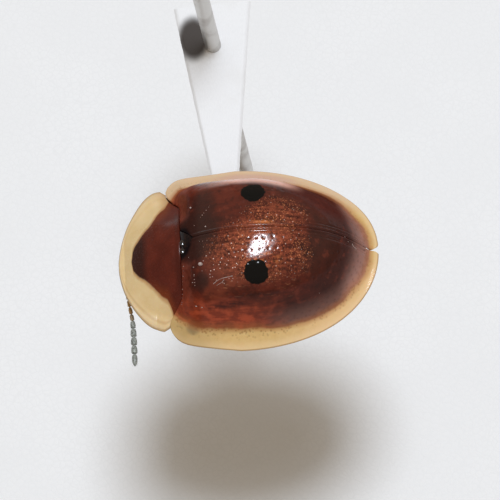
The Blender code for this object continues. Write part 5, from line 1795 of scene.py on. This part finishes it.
def foam_finish():
    """White foam: very small closed cells with thin walls."""
    finish = Finish("foam_white", IOR=1.4)
    place = finish.place()
    walls = finish.cells(place, FOAM_CELL, 'DISTANCE_TO_EDGE')
    mottle = finish.grain(place, 3.5, 3.0)
    white = finish.blend(FOAM_WHITE, FOAM_LIGHT, mottle.rise(0.3, 0.7))
    white = finish.blend(FOAM_WALL, white, walls.rise(0.0, 0.12))
    finish.set("Base Color", white)
    finish.set("Roughness", 0.85 + 0.1 * mottle)
    finish.set("Normal", finish.bump(walls.rise(0.0, 0.18), 0.008, 0.3))
    return finish


def glue_finish():
    """Dried clear glue, a little yellow, with a few small bubbles."""
    finish = Finish("glue_clear", IOR=1.48, Transmission_Weight=0.75)
    place = finish.place()
    bubbles = finish.cells(place, 0.14)
    haze = finish.grain(place, 0.25)
    finish.set("Base Color", finish.blend(GLUE_YELLOW, GLUE_DARK, haze.rise(0.4, 0.7)))
    finish.set("Roughness", 0.10 + 0.2 * haze)
    finish.set("Normal", finish.bump(bubbles, 0.01, 0.5))
    return finish


def floor_finish():
    """Plain light floor, faintly mottled."""
    finish = Finish("studio_floor", IOR=1.4)
    mottle = finish.grain(finish.place(), 60.0)
    finish.set("Base Color", finish.blend(FLOOR_GREY, FLOOR_LIGHT, mottle))
    finish.set("Roughness", 0.9)
    return finish


# Studio

def floor():
    """A square floor under the block of foam."""
    mesh = bpy.data.meshes.new("studio_floor")
    corners = [(x * FLOOR_HALF, y * FLOOR_HALF, 0) for x, y in ((-1, -1), (1, -1), (1, 1), (-1, 1))]
    mesh.from_pydata(corners, [], [(0, 1, 2, 3)])
    mesh.materials.append(floor_finish().material)
    item = bpy.data.objects.new("studio_floor", mesh)
    bpy.context.scene.collection.objects.link(item)


def lamp(name, width, power):
    """One round lamp high over the beetle, in the direction of the main light."""
    light = bpy.data.lights.new(name, 'AREA')
    light.shape = 'DISK'
    light.size = width
    light.energy = power
    light.color = LAMP_COLOUR
    item = bpy.data.objects.new(name, light)
    bpy.context.scene.collection.objects.link(item)
    ahead = Vector((math.sin(LAMP_TILT) * math.cos(LAMP_TURN),
                    math.sin(LAMP_TILT) * math.sin(LAMP_TURN), math.cos(LAMP_TILT)))
    item.location = BEETLE_AT * MM + ahead * LAMP_DISTANCE
    item.rotation_euler = ahead.to_track_quat('Z', 'Y').to_euler()


def studio_light():
    """A small lamp for the highlight, a wide one for soft shadows, and light from all round."""
    lamp("small_lamp", SMALL_LAMP_WIDTH, SMALL_LAMP_POWER)
    lamp("wide_lamp", WIDE_LAMP_WIDTH, WIDE_LAMP_POWER)
    world = bpy.data.worlds.new("soft_room")
    world.use_nodes = True
    background = world.node_tree.nodes["Background"]
    background.inputs["Color"].default_value = (*ROOM_COLOUR, 1.0)
    background.inputs["Strength"].default_value = ROOM_STRENGTH
    bpy.context.scene.world = world
    bpy.context.scene.view_settings.view_transform = 'Standard'


def camera():
    """The photograph's view: from the beetle's left, high up, rolled so that it lies level."""
    back = Vector((math.cos(CAMERA_HEIGHT_ANGLE) * math.cos(CAMERA_TURN),
                   math.cos(CAMERA_HEIGHT_ANGLE) * math.sin(CAMERA_TURN),
                   math.sin(CAMERA_HEIGHT_ANGLE)))
    level = Vector((-math.sin(CAMERA_TURN), math.cos(CAMERA_TURN), 0.0))
    upright = back.cross(level)
    right = level * math.cos(CAMERA_ROLL) - upright * math.sin(CAMERA_ROLL)
    up = upright * math.cos(CAMERA_ROLL) + level * math.sin(CAMERA_ROLL)
    middle = PICTURE_SIDE / 2
    aim = (BEETLE_AT + right * (middle - BEETLE_PIXEL[0]) / PIXELS_PER_MM
           + up * (BEETLE_PIXEL[1] - middle) / PIXELS_PER_MM)
    place = aim + back * CAMERA_DISTANCE
    view = bpy.data.cameras.new("photo_view")
    view.sensor_width = SENSOR
    view.lens = SENSOR * CAMERA_DISTANCE * PIXELS_PER_MM / PICTURE_SIDE
    view.clip_start = 0.001
    view.clip_end = 10.0
    item = bpy.data.objects.new("photo_view", view)
    item.matrix_world = Matrix(((right.x, up.x, back.x, place.x * MM),
                                (right.y, up.y, back.y, place.y * MM),
                                (right.z, up.z, back.z, place.z * MM),
                                (0.0, 0.0, 0.0, 1.0)))
    bpy.context.scene.collection.objects.link(item)
    bpy.context.scene.camera = item


# The whole scene

def main():
    """Every piece of the beetle and its mount, with camera, floor and lamps."""
    camera()
    amber = amber_finish()
    wing_case(1, "wing_case_left", "elytron_left", amber)
    wing_case(-1, "wing_case_right", "elytron_right", amber)
    shield(shield_finish())
    small_plate(plate_finish("plate_horn", 0.15))
    plate_beads(plate_finish("bead_horn", 1.0))
    joint_collar(horn_finish("collar_horn", *COLLAR_COLOURS, size=0.5, gloss=0.5, shine=0.0))
    body = horn_finish("body_horn", *BODY_COLOURS, size=0.5, gloss=0.28)
    hind_body(body)
    middle_body(body)
    fore_body(body)
    head(horn_finish("head_horn", *HEAD_COLOURS, size=0.3, gloss=0.3), eye_finish())
    limbs = limb_finish()
    dice = random.Random(7)
    feeler("feeler_left", "antenna_left", 1, FEELER_LEFT, limbs, dice)
    feeler("feeler_right", "antenna_right", -1, FEELER_RIGHT, limbs, dice)
    for word, joints in LEGS.items():
        leg("limb_" + word, "leg_" + word, joints, limbs, dice)
    dust(dust_finish())
    steel_pin(steel_finish())
    card_point(card_finish())
    glue_bead(glue_finish())
    foam_block(foam_finish())
    floor()
    studio_light()


main()
